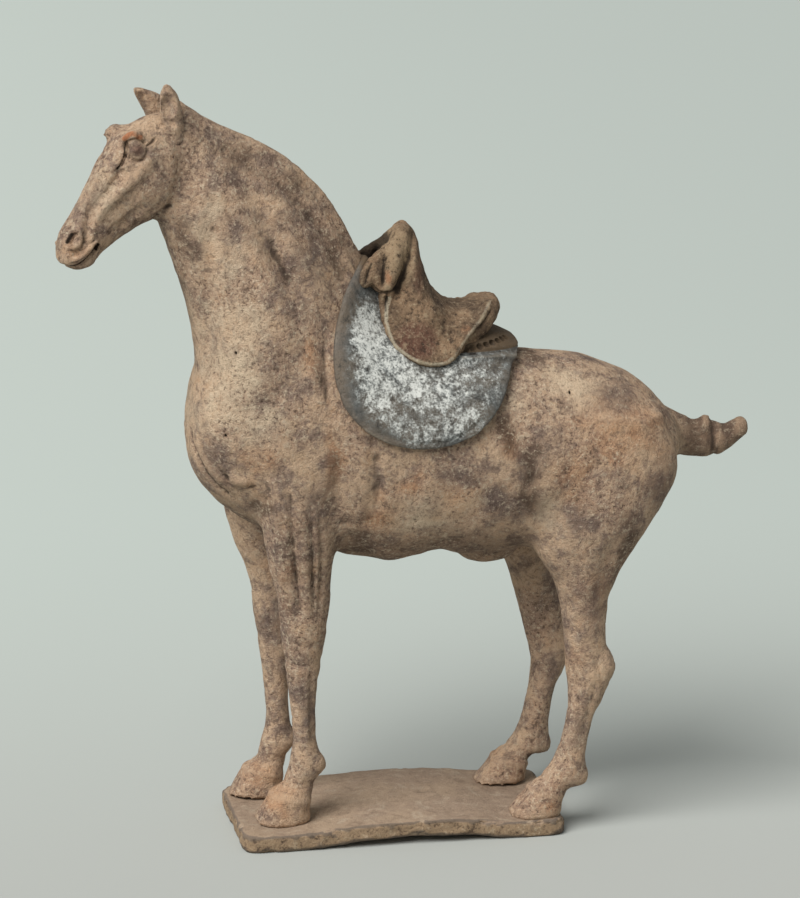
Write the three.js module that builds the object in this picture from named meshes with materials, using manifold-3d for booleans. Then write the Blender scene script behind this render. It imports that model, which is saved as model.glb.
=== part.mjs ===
// Earthenware tomb figure of a saddled horse standing on a thin slab plinth.
// Millimetres, +Z up. The horse faces -X, its left side faces -Y, and its head turns to its left.
// The horse, the saddle cloth, the saddle and the plinth are four pieces of clay, each one solid.
import * as THREE from "three";
import { mergeVertices } from "three/addons/utils/BufferGeometryUtils.js";
import Module from "manifold-3d";

const wasm = await Module();
wasm.setup();

// Driving dimensions
const JOINT_GAP = 0.3; // between two pieces that touch
const PLINTH = { front: -110, back: 110, halfWidth: 58, thick: 11.5, arch: 5, corner: 12, pad: 30 };
const HEAD = { turn: 17, pollX: -143 }; // degrees to the left, about an upright axis at the poll
const CLOTH = { thick: 6.5, lowest: 275, front: -48, back: 86 };
const MANE = { half: 6.5, depth: 14 };
// Each leg: where its foot stands across Y, and how far its foot and its top stand along X from the near one.
const FEET = {
  nearFore: { y: -25, shift: 0, lean: 0 },
  farFore: { y: 35, shift: -9, lean: -10 },
  nearHind: { y: -39, shift: 0, lean: 0 },
  farHind: { y: 33, shift: -10, lean: -11 },
};
const FORE_TOP_Y = 34;
const HIND_TOP_Y = 31;

// Cross-sections
// A section is seen from the side: two outline points [x, z], the half width across Y, the place of its
// middle along Y, how square it is (2 is an ellipse) and how much narrower it gets towards the second point.
function section(first, second, half, { y = 0, square = 2, taper = 0 } = {}) {
  return { first, second, half, y, square, taper };
}

// Signed volume of a closed triangle list, to turn inside-out surfaces round.
function facingOut(positions, triangles) {
  const [a, b, c] = [new THREE.Vector3(), new THREE.Vector3(), new THREE.Vector3()];
  let volume = 0;
  for (const [i, j, k] of triangles) {
    volume += a.copy(positions[i]).dot(b.copy(positions[j]).cross(c.copy(positions[k])));
  }
  return volume > 0 ? triangles : triangles.map(([i, j, k]) => [i, k, j]);
}

function surface(positions, triangles) {
  const geometry = new THREE.BufferGeometry().setFromPoints(positions);
  geometry.setIndex(facingOut(positions, triangles).flat());
  return geometry;
}

// A closed skin over rings of equal length, each end closed by a fan.
function skin(rings) {
  const count = rings[0].length;
  const positions = rings.flat();
  const triangles = [];
  for (let r = 0; r + 1 < rings.length; r++) {
    for (let s = 0; s < count; s++) {
      const [a, b] = [r * count + s, r * count + ((s + 1) % count)];
      triangles.push([a, b, a + count], [b, b + count, a + count]);
    }
  }
  for (const r of [0, rings.length - 1]) {
    const middle = rings[r].reduce((sum, p) => sum.add(p), new THREE.Vector3()).divideScalar(count);
    positions.push(middle);
    for (let s = 0; s < count; s++) {
      const [a, b] = [r * count + s, r * count + ((s + 1) % count)];
      triangles.push(r === 0 ? [b, a, positions.length - 1] : [a, b, positions.length - 1]);
    }
  }
  return surface(positions, triangles);
}

function ringAt(first, second, half, y, square, taper, segments, shrink = 1) {
  const middle = new THREE.Vector2().addVectors(first, second).multiplyScalar(0.5);
  const reach = new THREE.Vector2().subVectors(second, first).multiplyScalar(0.5 * shrink);
  const rounded = (value) => Math.sign(value) * Math.abs(value) ** (2 / square);
  return Array.from({ length: segments }, (_, s) => {
    const angle = (2 * Math.PI * s) / segments;
    const along = rounded(Math.cos(angle));
    const across = rounded(Math.sin(angle)) * (1 - taper * along) * half * shrink;
    return new THREE.Vector3(middle.x + reach.x * along, y + across, middle.y + reach.y * along);
  });
}

// A limb: a smooth skin through its sections. Grow swells it, and a cap rounds an end off over its length.
function limb(sections, { perSpan = 2, segments = 16, grow = 0, capStart = 0, capEnd = 0 } = {}) {
  const track = (pick) => new THREE.CatmullRomCurve3(sections.map((s) => new THREE.Vector3(...pick(s))));
  const firsts = track((s) => [...s.first, s.y]);
  const seconds = track((s) => [...s.second, s.half]);
  const forms = track((s) => [s.square, s.taper, 0]);
  const steps = perSpan * (sections.length - 1);
  const capRings = 3;
  const at = (t, shrink, slide) => {
    const [first, second, form] = [firsts.getPoint(t), seconds.getPoint(t), forms.getPoint(t)];
    const [a, b] = [new THREE.Vector2(first.x, first.y), new THREE.Vector2(second.x, second.y)];
    const swell = new THREE.Vector2().subVectors(b, a).setLength(grow);
    a.sub(swell).add(slide);
    b.add(swell).add(slide);
    return ringAt(a, b, second.z + grow, first.z, form.x, form.y, segments, shrink);
  };
  const middleOf = (t) => firsts.getPoint(t).add(seconds.getPoint(t)).multiplyScalar(0.5);
  const outward = (t, inner) => {
    const way = middleOf(t).sub(middleOf(inner));
    return new THREE.Vector2(way.x, way.y).normalize();
  };
  const rings = [];
  const cap = (t, inner, length) => {
    const way = outward(t, inner);
    for (let k = capRings; k >= 1; k--) {
      const share = k === capRings ? 0.97 : k / capRings;
      rings.push(at(t, Math.sqrt(1 - share * share), way.clone().multiplyScalar((length + grow) * share)));
    }
  };
  const still = new THREE.Vector2();
  if (capStart > 0) cap(0, 1 / steps, capStart);
  for (let i = 0; i <= steps; i++) rings.push(at(i / steps, 1, still));
  if (capEnd > 0) {
    const before = rings.length;
    cap(1, 1 - 1 / steps, capEnd);
    rings.push(...rings.splice(before).reverse());
  }
  return skin(rings);
}

// Joining and cutting
function solid(geometry) {
  const bare = new THREE.BufferGeometry().setAttribute("position", geometry.getAttribute("position"));
  if (geometry.index) bare.setIndex(geometry.index);
  const merged = mergeVertices(bare, 1e-4);
  const mesh = { numProp: 3, vertProperties: merged.attributes.position.array };
  return new wasm.Manifold(new wasm.Mesh({ ...mesh, triVerts: new Uint32Array(merged.index.array) }));
}

const join = (...solids) => solids.reduce((sum, next) => sum.add(next));

// A ball stretched to three radii and turned about Y, by degrees.
function pebble([x, y, z], [rx, ry, rz], pitch = 0, [across, around] = [12, 8]) {
  const ball = new THREE.SphereGeometry(1, across, around).scale(rx, ry, rz);
  return solid(ball.rotateY(THREE.MathUtils.degToRad(pitch)).translate(x, y, z));
}

// A side-view outline extruded across the whole figure.
function sideCut(outline, halfWidth) {
  const depth = 2 * halfWidth;
  const slab = new THREE.ExtrudeGeometry(outline, { depth, bevelEnabled: false, curveSegments: 8 });
  return solid(slab.rotateX(Math.PI / 2).translate(0, halfWidth, 0));
}

// A round bar along a smooth path, to cut a groove with.
function bar(points, radius) {
  const path = new THREE.CatmullRomCurve3(points.map((p) => new THREE.Vector3(...p)));
  const round = new THREE.Shape().absarc(0, 0, radius, 0, 2 * Math.PI);
  const steps = 2 * points.length;
  return solid(new THREE.ExtrudeGeometry(round, { extrudePath: path, steps, curveSegments: 3 }));
}

// Barrel: a deep, round-ribbed body from the chest to the rump.
const BARREL = [
  section([-137, 263], [-137, 297], 16),
  section([-134, 252], [-133, 316], 30),
  section([-127, 240], [-125, 334], 40),
  section([-113, 226], [-111, 354], 48),
  section([-85, 206], [-83, 372], 55),
  section([-50, 193], [-46, 372], 59),
  section([-15, 186], [-12, 352], 62),
  section([25, 186], [25, 337], 63),
  section([60, 185], [60, 329], 62),
  section([95, 190], [95, 325], 61),
  section([130, 202], [130, 321], 59),
  section([160, 216], [160, 310], 52),
  section([179, 228], [179, 298], 43),
  section([191, 238], [191, 284], 31),
  section([198, 249], [198, 271], 16),
];
const barrel = (grow) => solid(limb(BARREL, { perSpan: 1, segments: 20, grow, capStart: 1.5, capEnd: 2 }));

// Neck: deep at the shoulder, arched, and thinner towards the crest.
const NECK = [
  section([-118, 262], [15, 332], 50, { taper: 0.2 }),
  section([-136, 286], [-6, 364], 51, { taper: 0.27 }),
  section([-132.5, 312], [-23, 392], 48, { taper: 0.32 }),
  section([-132, 338], [-41, 424], 42, { taper: 0.34 }),
  section([-137, 362], [-58, 446], 36, { taper: 0.34 }),
  section([-143, 383], [-79, 460], 31, { taper: 0.3 }),
  section([-149, 403], [-104, 473], 26.5, { taper: 0.25 }),
  section([-157, 424], [-131, 489], 22, { taper: 0.2 }),
];
const neck = (grow) => solid(limb(NECK, { perSpan: 2, segments: 18, grow, capEnd: 5 }));

// Hogged mane: a narrow rounded band standing along the crest.
function mane(grow = 0) {
  const crest = [[-19, 392], [-30, 415], [-46, 438], [-70, 459.5], [-98, 474.5], [-130, 491.5]];
  const heart = [-112, 396];
  const bands = crest.map(([x, z]) => {
    const inward = new THREE.Vector2(heart[0] - x, heart[1] - z).setLength(MANE.depth);
    return section([x + inward.x, z + inward.y], [x, z], MANE.half, { square: 2.6 });
  });
  return solid(limb(bands, { perSpan: 2, segments: 10, grow, capStart: 2, capEnd: 2 }));
}

// Head, in its own upright plane: x is minus the distance in front of the poll.
const SKULL = [
  section([28, 452], [2, 492], 18),
  section([6, 433], [-16, 492], 21, { square: 2.2 }),
  section([-10, 424], [-31, 486], 22, { square: 2.7 }),
  section([-22, 425.5], [-43, 477], 20.5, { square: 2.8 }),
  section([-34, 421.5], [-53, 464.5], 17, { square: 2.6 }),
  section([-45, 415], [-62, 450.5], 14.5, { square: 2.4 }),
  section([-55, 406.5], [-70.5, 436.5], 13.5, { square: 2.3 }),
  section([-63, 397], [-78, 424], 14, { square: 2.2 }),
  section([-72, 394.5], [-83, 414.5], 13),
  section([-79, 397.5], [-83.5, 406], 9),
];

// An ear: a cone with a hollow at its front. Pricked is how far the tip stands forward of its root.
function ear(side, pricked, tip) {
  const root = 486;
  const spread = 11;
  const level = (height, front, back, half) => {
    const z = root + (tip - root) * height;
    const x = -pricked * height;
    return section([front + x, z], [back + x, z + 1], half, { y: side * (spread + 4 * height) });
  };
  const rise = [level(0, -16, 7, 8.5), level(0.5, -13, 3, 7), level(0.85, -10, -1, 4.5)];
  const shell = solid(limb(rise, { perSpan: 2, segments: 10, capEnd: 3.5 }));
  const bowl = [-14 - 0.5 * pricked, side * (spread + 3), root + 0.55 * (tip - root)];
  return shell.subtract(pebble(bowl, [6, 3.6, 9.5], pricked, [8, 6]));
}

// An eye: a bulging ball under a thick brow, which slopes with the forehead.
function eye(side) {
  const slope = -36;
  const ball = pebble([-36.5, side * 16.6, 472], [6.4, 5, 5.8], slope, [10, 8]);
  const brow = pebble([-37.5, side * 13.6, 479], [8, 5.6, 3.6], slope, [10, 6]);
  return join(ball, brow);
}

function head() {
  const skull = solid(limb(SKULL, { perSpan: 2, segments: 20, capEnd: 2 }));
  const sides = [-1, 1];
  const ears = [ear(-1, 4, 510), ear(1, 13, 505.5)];
  const nostrils = sides.map((side) => pebble([-78.5, side * 11.5, 417], [3, 5, 5], 35, [8, 6]));
  const cheekLine = [[-42, 19.5, 464], [-52, 15.6, 447], [-61, 13.6, 430], [-68, 13.8, 417]];
  const cheekGrooves = sides.map((side) => bar(cheekLine.map(([x, y, z]) => [x, side * y, z]), 2.4));
  const lipLine = [[-61, 14.5, 411], [-73, 14, 405.5], [-83, 8.5, 401.5], [-86, 0, 400.5]];
  const lips = [...lipLine, ...lipLine.slice(0, -1).reverse().map(([x, y, z]) => [x, -y, z])];
  const corners = sides.map((side) => pebble([-62, side * 13, 410.5], [2.6, 4.5, 2.4], 30, [8, 6]));
  const carved = join(bar(lips, 1.5), ...nostrils, ...cheekGrooves, ...corners);
  const whole = join(skull.subtract(carved), ...sides.map(eye), ...ears);
  return whole.rotate(0, 0, HEAD.turn).translate(HEAD.pollX, 0, 0);
}

// Legs: pairs of front and back outline points from the body down to the ground.
const GROUND = PLINTH.thick + JOINT_GAP;
const FORE = [
  section([-96, 268], [-42, 262], 22),
  section([-94, 228], [-42, 218], 21),
  section([-85, 190], [-46, 190], 17),
  section([-78, 166], [-48, 166], 14.5),
  section([-78.5, 141], [-51, 139], 13.5),
  section([-76, 120], [-54, 118], 11.5),
  section([-74, 96], [-56, 95], 10),
  section([-72, 68], [-56, 67], 9.5),
  section([-76, 47], [-52, 50], 11.5),
  section([-81, 37], [-58, 36], 11),
  section([-89, 29], [-61, 26], 15, { square: 2.4 }),
  section([-100, GROUND], [-60, GROUND], 18, { square: 2.3 }),
];
const HIND = [
  section([98, 292], [178, 286], 24),
  section([87, 248], [190, 248], 30),
  section([86, 219], [177, 217], 30),
  section([91, 194], [161, 196], 25),
  section([104, 173], [148.5, 177], 20),
  section([109, 151], [141, 157], 15.5),
  section([111, 125], [140, 130], 13),
  section([113, 106], [146, 112], 13),
  section([114, 92], [139, 94], 11.5),
  section([112, 74], [130, 74], 10),
  section([106, 52], [126, 53], 10),
  section([99, 41], [126, 33], 12),
  section([91, 34], [112, 26], 11.5),
  section([85, 27], [110, 22], 15, { square: 2.4 }),
  section([71, GROUND], [109, GROUND], 18, { square: 2.3 }),
];

// A leg stands on its foot and slopes across to its top, above the knee, where the body carries it.
function leg(sections, foot, topY) {
  const [ankle, elbow, hip] = [95, 175, 265];
  const placed = sections.map((s) => {
    const height = s.first[1];
    const shift = foot.shift + foot.lean * THREE.MathUtils.smoothstep(height, ankle, elbow);
    const inward = THREE.MathUtils.smoothstep(height, ankle, hip);
    return {
      ...s,
      first: [s.first[0] + shift, s.first[1]],
      second: [s.second[0] + shift, s.second[1]],
      y: THREE.MathUtils.lerp(foot.y, Math.sign(foot.y) * topY, inward),
    };
  });
  return solid(limb(placed, { perSpan: 1, segments: 12 }));
}

// Tail: bound short, with a knot a third of the way from its upturned end.
function tail() {
  const dock = limb(
    [
      section([186, 250], [176, 291], 13),
      section([199, 249], [190, 282], 11.5),
      section([210, 246], [204, 276], 10),
      section([223, 245.5], [218, 270.5], 9),
      section([234, 250], [229.5, 268], 8),
      section([242, 257.5], [238.5, 271], 6.5),
    ],
    { perSpan: 2, segments: 12, capEnd: 5 },
  );
  const knot = limb([section([216, 245], [212, 276], 11.5), section([221, 245], [221, 275], 11.5)], {
    perSpan: 1,
    segments: 12,
    capStart: 2,
    capEnd: 2,
  });
  return join(solid(dock), solid(knot));
}

// Plinth: a thin slab with rounded corners, bowed up a little between its two flat ends.
function plinth(grow = 0) {
  const { front, back, halfWidth, thick, arch, corner, pad } = PLINTH;
  const crown = 8;
  const top = thick + grow;
  const side = new THREE.Shape();
  side.moveTo(front, 0).lineTo(front + pad, 0);
  side.bezierCurveTo(front + 2 * pad, 0, crown - 2 * pad, arch, crown, arch);
  side.bezierCurveTo(crown + 2 * pad, arch, back - 2 * pad, 0, back - pad, 0);
  side.lineTo(back, 0).lineTo(back, top).lineTo(back - pad, top);
  side.bezierCurveTo(back - 2 * pad, top, crown + 2 * pad, top + arch, crown, top + arch);
  side.bezierCurveTo(crown - 2 * pad, top + arch, front + 2 * pad, top, front + pad, top);
  side.lineTo(front, top);
  const plan = new THREE.Shape();
  plan.moveTo(front + corner, -halfWidth).lineTo(back - corner, -halfWidth);
  plan.quadraticCurveTo(back, -halfWidth, back, -halfWidth + corner).lineTo(back, halfWidth - corner);
  plan.quadraticCurveTo(back, halfWidth, back - corner, halfWidth).lineTo(front + corner, halfWidth);
  plan.quadraticCurveTo(front, halfWidth, front, halfWidth - corner).lineTo(front, -halfWidth + corner);
  plan.quadraticCurveTo(front, -halfWidth, front + corner, -halfWidth);
  const tall = 2 * (thick + arch);
  const post = new THREE.ExtrudeGeometry(plan, { depth: tall, bevelEnabled: false, curveSegments: 5 });
  return sideCut(side, halfWidth + corner).intersect(solid(post.translate(0, 0, -1)));
}

// The back as it swells under the cloth, with the padded ridge that the cloth makes behind the saddle.
function back(grow) {
  const ridge = [
    section([36, 296], [36, 348], 40),
    section([62, 296], [62, 345], 38),
    section([88, 296], [88, 333], 32),
  ];
  const pad = limb(ridge, { perSpan: 2, segments: 16, grow: grow - CLOTH.thick });
  return join(barrel(grow), neck(grow), solid(pad));
}

// Saddle cloth: a thick crescent over the back, cut to its side outline.
function cloth(bare) {
  const { lowest, front, back: rear, thick } = CLOTH;
  const outline = new THREE.Shape();
  outline.moveTo(-16, 400).bezierCurveTo(-36, 388, front, 358, front, 327);
  outline.bezierCurveTo(front + 1, 293, -16, lowest, 12, lowest);
  outline.bezierCurveTo(44, lowest, rear - 24, 292, rear - 13, 316);
  outline.bezierCurveTo(rear - 9, 327, rear, 330, rear, 338).lineTo(rear, 400);
  return back(thick).intersect(sideCut(outline, 90)).subtract(bare);
}

// Saddle: an arched seat between a tall pommel and a low cantle, its flaps hanging over the cloth.
// Each step along it is an arch from the near edge over the ridge to the far edge.
function saddle(beneath) {
  const ridge = [
    [-8, 393], [0, 408], [7, 416], [14, 409], [17.5, 394], [24, 373], [39, 360.5], [56, 362], [69, 366], [73, 358],
  ];
  const edge = [
    [-13, 23, 366], [-12, 26, 359], [-10, 30, 351], [-7, 36, 343], [-1, 43, 336], [9, 47, 331],
    [23, 46, 328], [36, 40, 332], [47, 32, 340], [49, 30, 335],
  ];
  const curve = (points) => new THREE.CatmullRomCurve3(points.map((p) => new THREE.Vector3(...p)));
  const along = curve(ridge.map(([x, z]) => [x, 0, z]));
  const lower = curve(edge);
  const [steps, half] = [16, 7];
  const [wall, drop, undercut] = [16, 34, 9];
  const rings = [];
  for (let i = 0; i <= steps; i++) {
    const [top, foot] = [along.getPoint(i / steps), lower.getPoint(i / steps)];
    const peak = 0.5 * (1 - THREE.MathUtils.smoothstep(i / steps, 0.3, 0.6)); // the pommel is a pointed arch
    const tuck = undercut * THREE.MathUtils.smoothstep(i / steps, 0.7, 1);
    const upper = [];
    const under = [];
    for (let j = -half; j <= half; j++) {
      const share = j / half;
      const round = Math.sin((share * Math.PI) / 2);
      const sink = 1 - Math.cos((share * Math.PI) / 2);
      const across = THREE.MathUtils.lerp(round, share, peak);
      const x = top.x + (foot.x - top.x) * sink;
      const z = top.z + (foot.z - top.z) * sink;
      upper.push(new THREE.Vector3(x, foot.y * across, z));
      under.push(new THREE.Vector3(x - tuck, (foot.y - wall) * across, z - drop));
    }
    rings.push([...upper, ...under.reverse()]);
  }
  return solid(skin(rings)).subtract(beneath);
}

// Assembly
const clay = { roughness: 0.95, metalness: 0 };
const MATERIALS = {
  horse: new THREE.MeshStandardMaterial({ color: 0xa58c74, ...clay }),
  saddle_cloth: new THREE.MeshStandardMaterial({ color: 0x7d7f7e, ...clay }),
  saddle: new THREE.MeshStandardMaterial({ color: 0x77655a, ...clay }),
  plinth: new THREE.MeshStandardMaterial({ color: 0xa08a72, ...clay }),
};

function piece(name, shape) {
  const { vertProperties, triVerts, numProp } = shape.getMesh();
  const geometry = new THREE.BufferGeometry();
  geometry.setAttribute("position", new THREE.BufferAttribute(vertProperties, numProp));
  geometry.setIndex(new THREE.BufferAttribute(triVerts, 1));
  const mesh = new THREE.Mesh(geometry, MATERIALS[name]);
  mesh.name = name;
  return mesh;
}

const trunk = join(barrel(0), neck(0), mane());
const sheath = pebble([65, 0, 188], [23, 15, 11.5]);
const legs = [
  leg(FORE, FEET.nearFore, FORE_TOP_Y),
  leg(FORE, FEET.farFore, FORE_TOP_Y),
  leg(HIND, FEET.nearHind, HIND_TOP_Y),
  leg(HIND, FEET.farHind, HIND_TOP_Y),
];
const horse = join(trunk, head(), sheath, tail(), ...legs).subtract(plinth(JOINT_GAP));
const bare = join(barrel(JOINT_GAP), neck(JOINT_GAP), mane(JOINT_GAP), horse);
const clothed = join(back(CLOTH.thick + JOINT_GAP), bare);
const shapes = { horse, saddle_cloth: cloth(bare), saddle: saddle(clothed), plinth: plinth() };

// The origin lies under the middle of the whole figure, on the ground.
const figure = new THREE.Group();
for (const [name, shape] of Object.entries(shapes)) figure.add(piece(name, shape));
const box = new THREE.Box3().setFromObject(figure);
const middle = box.getCenter(new THREE.Vector3());
figure.position.set(-middle.x, -middle.y, -box.min.z);

export default figure;
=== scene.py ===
import math

import bmesh
import bpy
import numpy as np
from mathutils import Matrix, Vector


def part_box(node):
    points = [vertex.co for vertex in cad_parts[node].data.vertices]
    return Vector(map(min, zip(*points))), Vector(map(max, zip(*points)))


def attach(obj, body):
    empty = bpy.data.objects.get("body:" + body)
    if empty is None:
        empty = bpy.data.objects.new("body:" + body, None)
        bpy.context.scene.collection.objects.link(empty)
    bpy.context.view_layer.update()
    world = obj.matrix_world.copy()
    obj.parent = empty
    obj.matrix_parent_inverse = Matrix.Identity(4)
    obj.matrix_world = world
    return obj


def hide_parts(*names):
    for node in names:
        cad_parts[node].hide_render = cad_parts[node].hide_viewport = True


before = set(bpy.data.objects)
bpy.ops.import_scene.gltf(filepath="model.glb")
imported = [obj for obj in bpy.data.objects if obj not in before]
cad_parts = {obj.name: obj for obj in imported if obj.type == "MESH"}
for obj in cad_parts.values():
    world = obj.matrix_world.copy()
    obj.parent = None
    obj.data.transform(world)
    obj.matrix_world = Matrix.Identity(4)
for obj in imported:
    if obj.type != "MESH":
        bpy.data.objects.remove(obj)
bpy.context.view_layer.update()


# Plinth
# A thin slab of the same clay as the horse, cut by hand and bowed up a little between its two ends.
# The hooves are stuck down on it with slip, and the slab and the horse were fired together.
MM = 0.001
SLAB_VOXEL = 1.6
SLAB_HALF_LENGTH = 110
slab_low, slab_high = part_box("plinth")
# The figure is measured in millimetres from the middle of the slab, on the ground.
SLAB_MIDDLE = np.array([slab_low.x / MM + SLAB_HALF_LENGTH, (slab_low.y + slab_high.y) / 2 / MM, 0.0])


def grain(points, size, seed=0):
    """Smooth lumps of the given size, between -1 and 1."""
    cell = np.floor(points / size).astype(np.int64)
    part = points / size - cell
    ease = part * part * (3 - 2 * part)
    total = np.zeros(len(points))
    for corner in np.ndindex(2, 2, 2):
        key = (cell + corner) @ np.array([73856093, 19349663, 83492791]) + seed * 374761393
        key = (key ^ (key >> 13)) * 1274126177
        key = key ^ (key >> 16)
        weight = np.where(corner, ease, 1 - ease).prod(axis=1)
        total += weight * ((key & 0xFFFF) / 32767.5 - 1)
    return total


def soft_step(values, low, high):
    share = np.clip((values - low) / (high - low), 0, 1)
    return share * share * (3 - 2 * share)


def baked(thing):
    """The thing's mesh with its modifiers applied; the thing itself is cleared away."""
    bpy.context.view_layer.update()
    graph = bpy.context.evaluated_depsgraph_get()
    mesh = bpy.data.meshes.new_from_object(thing.evaluated_get(graph))
    bpy.data.objects.remove(thing)
    return mesh


def placed(name, mesh):
    thing = bpy.data.objects.new(name, mesh)
    bpy.context.scene.collection.objects.link(thing)
    return thing


def skinned(mesh, voxel):
    """One even skin of small squares round everything in the mesh."""
    thing = placed("lump", mesh)
    skin = thing.modifiers.new("skin", "REMESH")
    skin.mode = "VOXEL"
    skin.voxel_size = voxel * MM
    return baked(thing)


class Clay:
    """A closed lump of clay in millimetres, worked by strokes that press, raise and smooth it."""

    def __init__(self, mesh):
        self.mesh = mesh
        self.read()

    def read(self):
        count = len(self.mesh.vertices)
        flat = np.zeros(3 * count)
        self.mesh.vertices.foreach_get("co", flat)
        self.points = flat.reshape(-1, 3) / MM - SLAB_MIDDLE
        ends = np.zeros(2 * len(self.mesh.edges), np.int64)
        self.mesh.edges.foreach_get("vertices", ends)
        self.ends = ends.reshape(-1, 2).T
        self.degree = np.maximum(np.bincount(ends, minlength=count), 1)
        self.settle()

    def settle(self):
        """Writes the points back to the mesh and reads the new normals."""
        self.mesh.vertices.foreach_set("co", ((self.points + SLAB_MIDDLE) * MM).ravel())
        self.mesh.update()
        flat = np.zeros(3 * len(self.points))
        self.mesh.vertex_normals.foreach_get("vector", flat)
        self.normals = flat.reshape(-1, 3)

    def around(self, values):
        """The mean of each point's neighbours."""
        start, end = self.ends
        count = len(self.points)
        total = np.bincount(start, values[end], count) + np.bincount(end, values[start], count)
        return total / self.degree

    def spread(self, values, times):
        for _ in range(times):
            values = 0.5 * values + 0.5 * self.around(values)
        return values

    def smooth(self, times, share=1.0):
        for _ in range(times):
            pull = np.stack([self.around(column) for column in self.points.T], axis=1) - self.points
            self.points = self.points + (0.5 * share * pull.T).T
        self.settle()

    def even_out(self, times, share=1.0):
        """Smooths without shrinking: one step in, one slightly longer step out."""
        for step in [0.5, -0.53] * times:
            pull = np.stack([self.around(column) for column in self.points.T], axis=1) - self.points
            self.points = self.points + (step * share * pull.T).T
        self.settle()

    def hollow(self, times):
        """How far each point lies below its surroundings, in millimetres."""
        mean = np.stack([self.spread(column, times) for column in self.points.T], axis=1)
        return ((mean - self.points) * self.normals).sum(axis=1)

    def raise_by(self, height):
        self.points = self.points + self.normals * np.asarray(height)[:, None]
        self.settle()

    def stroke(self, places, line, width, height, within=1.0, fade=0.0):
        """Draws a soft ridge along a line, or a groove where the height is negative. Fade thins its ends."""
        bump, share = along(places, line, width)
        self.raise_by(height * bump * (1 - fade * (2 * share - 1) ** 2) * within)

    def split(self, mask):
        """Halves every edge that lies inside the mask."""
        shape = bmesh.new()
        shape.from_mesh(self.mesh)
        edges = [e for e in shape.edges if mask[e.verts[0].index] and mask[e.verts[1].index]]
        bmesh.ops.subdivide_edges(shape, edges=edges, cuts=1, use_grid_fill=True)
        shape.to_mesh(self.mesh)
        shape.free()
        self.read()

    def keep(self, name, values):
        """Stores a mask on the points for the finish to read."""
        layer = self.mesh.attributes.new(name, "FLOAT", "POINT")
        layer.data.foreach_set("value", np.clip(values, 0, 1).astype(np.float32))


class Tone:
    """A socket of a finish, so that its maths reads as sums."""

    def __init__(self, tree, socket=None):
        self.tree = tree
        self.socket = socket

    def node(self, kind, settings=None, sockets=None, out=0):
        """Any node, by its kind: its settings, what goes into its sockets, and the outlet to read."""
        made = self.tree.nodes.new(kind)
        for name, value in (settings or {}).items():
            setattr(made, name, value)
        for name, value in (sockets or {}).items():
            if isinstance(value, Tone):
                self.tree.links.new(value.socket, made.inputs[name])
            else:
                made.inputs[name].default_value = value
        return Tone(self.tree, made.outputs[out] if made.outputs else None)

    def maths(self, operation, first, second):
        return self.node("ShaderNodeMath", {"operation": operation}, {0: first, 1: second})

    def __add__(self, other):
        return self.maths("ADD", self, other)

    def __sub__(self, other):
        return self.maths("SUBTRACT", self, other)

    def __rsub__(self, other):
        return self.maths("SUBTRACT", other, self)

    def __mul__(self, other):
        return self.maths("MULTIPLY", self, other)

    __radd__ = __add__
    __rmul__ = __mul__

    def step(self, low, high, start=0.0, end=1.0):
        """Eases from start to end as the value goes from low to high."""
        ease = {"interpolation_type": "SMOOTHSTEP"}
        limits = {"From Min": low, "From Max": high, "To Min": start, "To Max": end}
        return self.node("ShaderNodeMapRange", ease, {"Value": self, **limits})

    def mix(self, under, over):
        """This value lays one colour over another."""
        return self.node("ShaderNodeMix", {"data_type": "RGBA"}, {0: self, 6: under, 7: over}, out=2)


def rgb(red, green, blue):
    """A colour as it looks on a screen, 10 to 255, as the light it gives back."""
    shares = [channel / 255 for channel in (red, green, blue)]
    return (*(((share + 0.055) / 1.055) ** 2.4 for share in shares), 1.0)


class Finish:
    """A matt material, with its patterns and masks at hand."""

    def __init__(self, name):
        self.material = bpy.data.materials.new(name)
        self.material.use_nodes = True
        self.tree = self.material.node_tree
        self.shader = self.tree.nodes["Principled BSDF"]
        self.plain = Tone(self.tree)
        self.place = self.plain.node("ShaderNodeTexCoord", out="Object")

    def lumps(self, size, detail=3.0, rough=0.55, twist=0.0):
        """Noise with lumps of the given size in millimetres."""
        sockets = {"Vector": self.place, "Scale": 1 / (size * MM), "Detail": detail}
        sockets |= {"Roughness": rough, "Distortion": twist}
        return self.plain.node("ShaderNodeTexNoise", None, sockets)

    def mask(self, name):
        return self.plain.node("ShaderNodeAttribute", {"attribute_name": name}, out="Fac")

    def close(self, colour, roughness, height, depth):
        """Feeds the shader: colour, roughness, and the height of the grain over a depth in millimetres."""
        relief = {"Height": height, "Distance": depth * MM, "Strength": 1.0}
        bump = self.plain.node("ShaderNodeBump", None, relief)
        for name, value in (("Base Color", colour), ("Roughness", roughness), ("Normal", bump)):
            self.tree.links.new(value.socket, self.shader.inputs[name])
        self.shader.inputs["Specular IOR Level"].default_value = 0.25
        return self.material


def shaded(thing, material):
    thing.data.materials.clear()
    thing.data.materials.append(material)
    thing.data.polygons.foreach_set("use_smooth", [True] * len(thing.data.polygons))
    return thing


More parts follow.
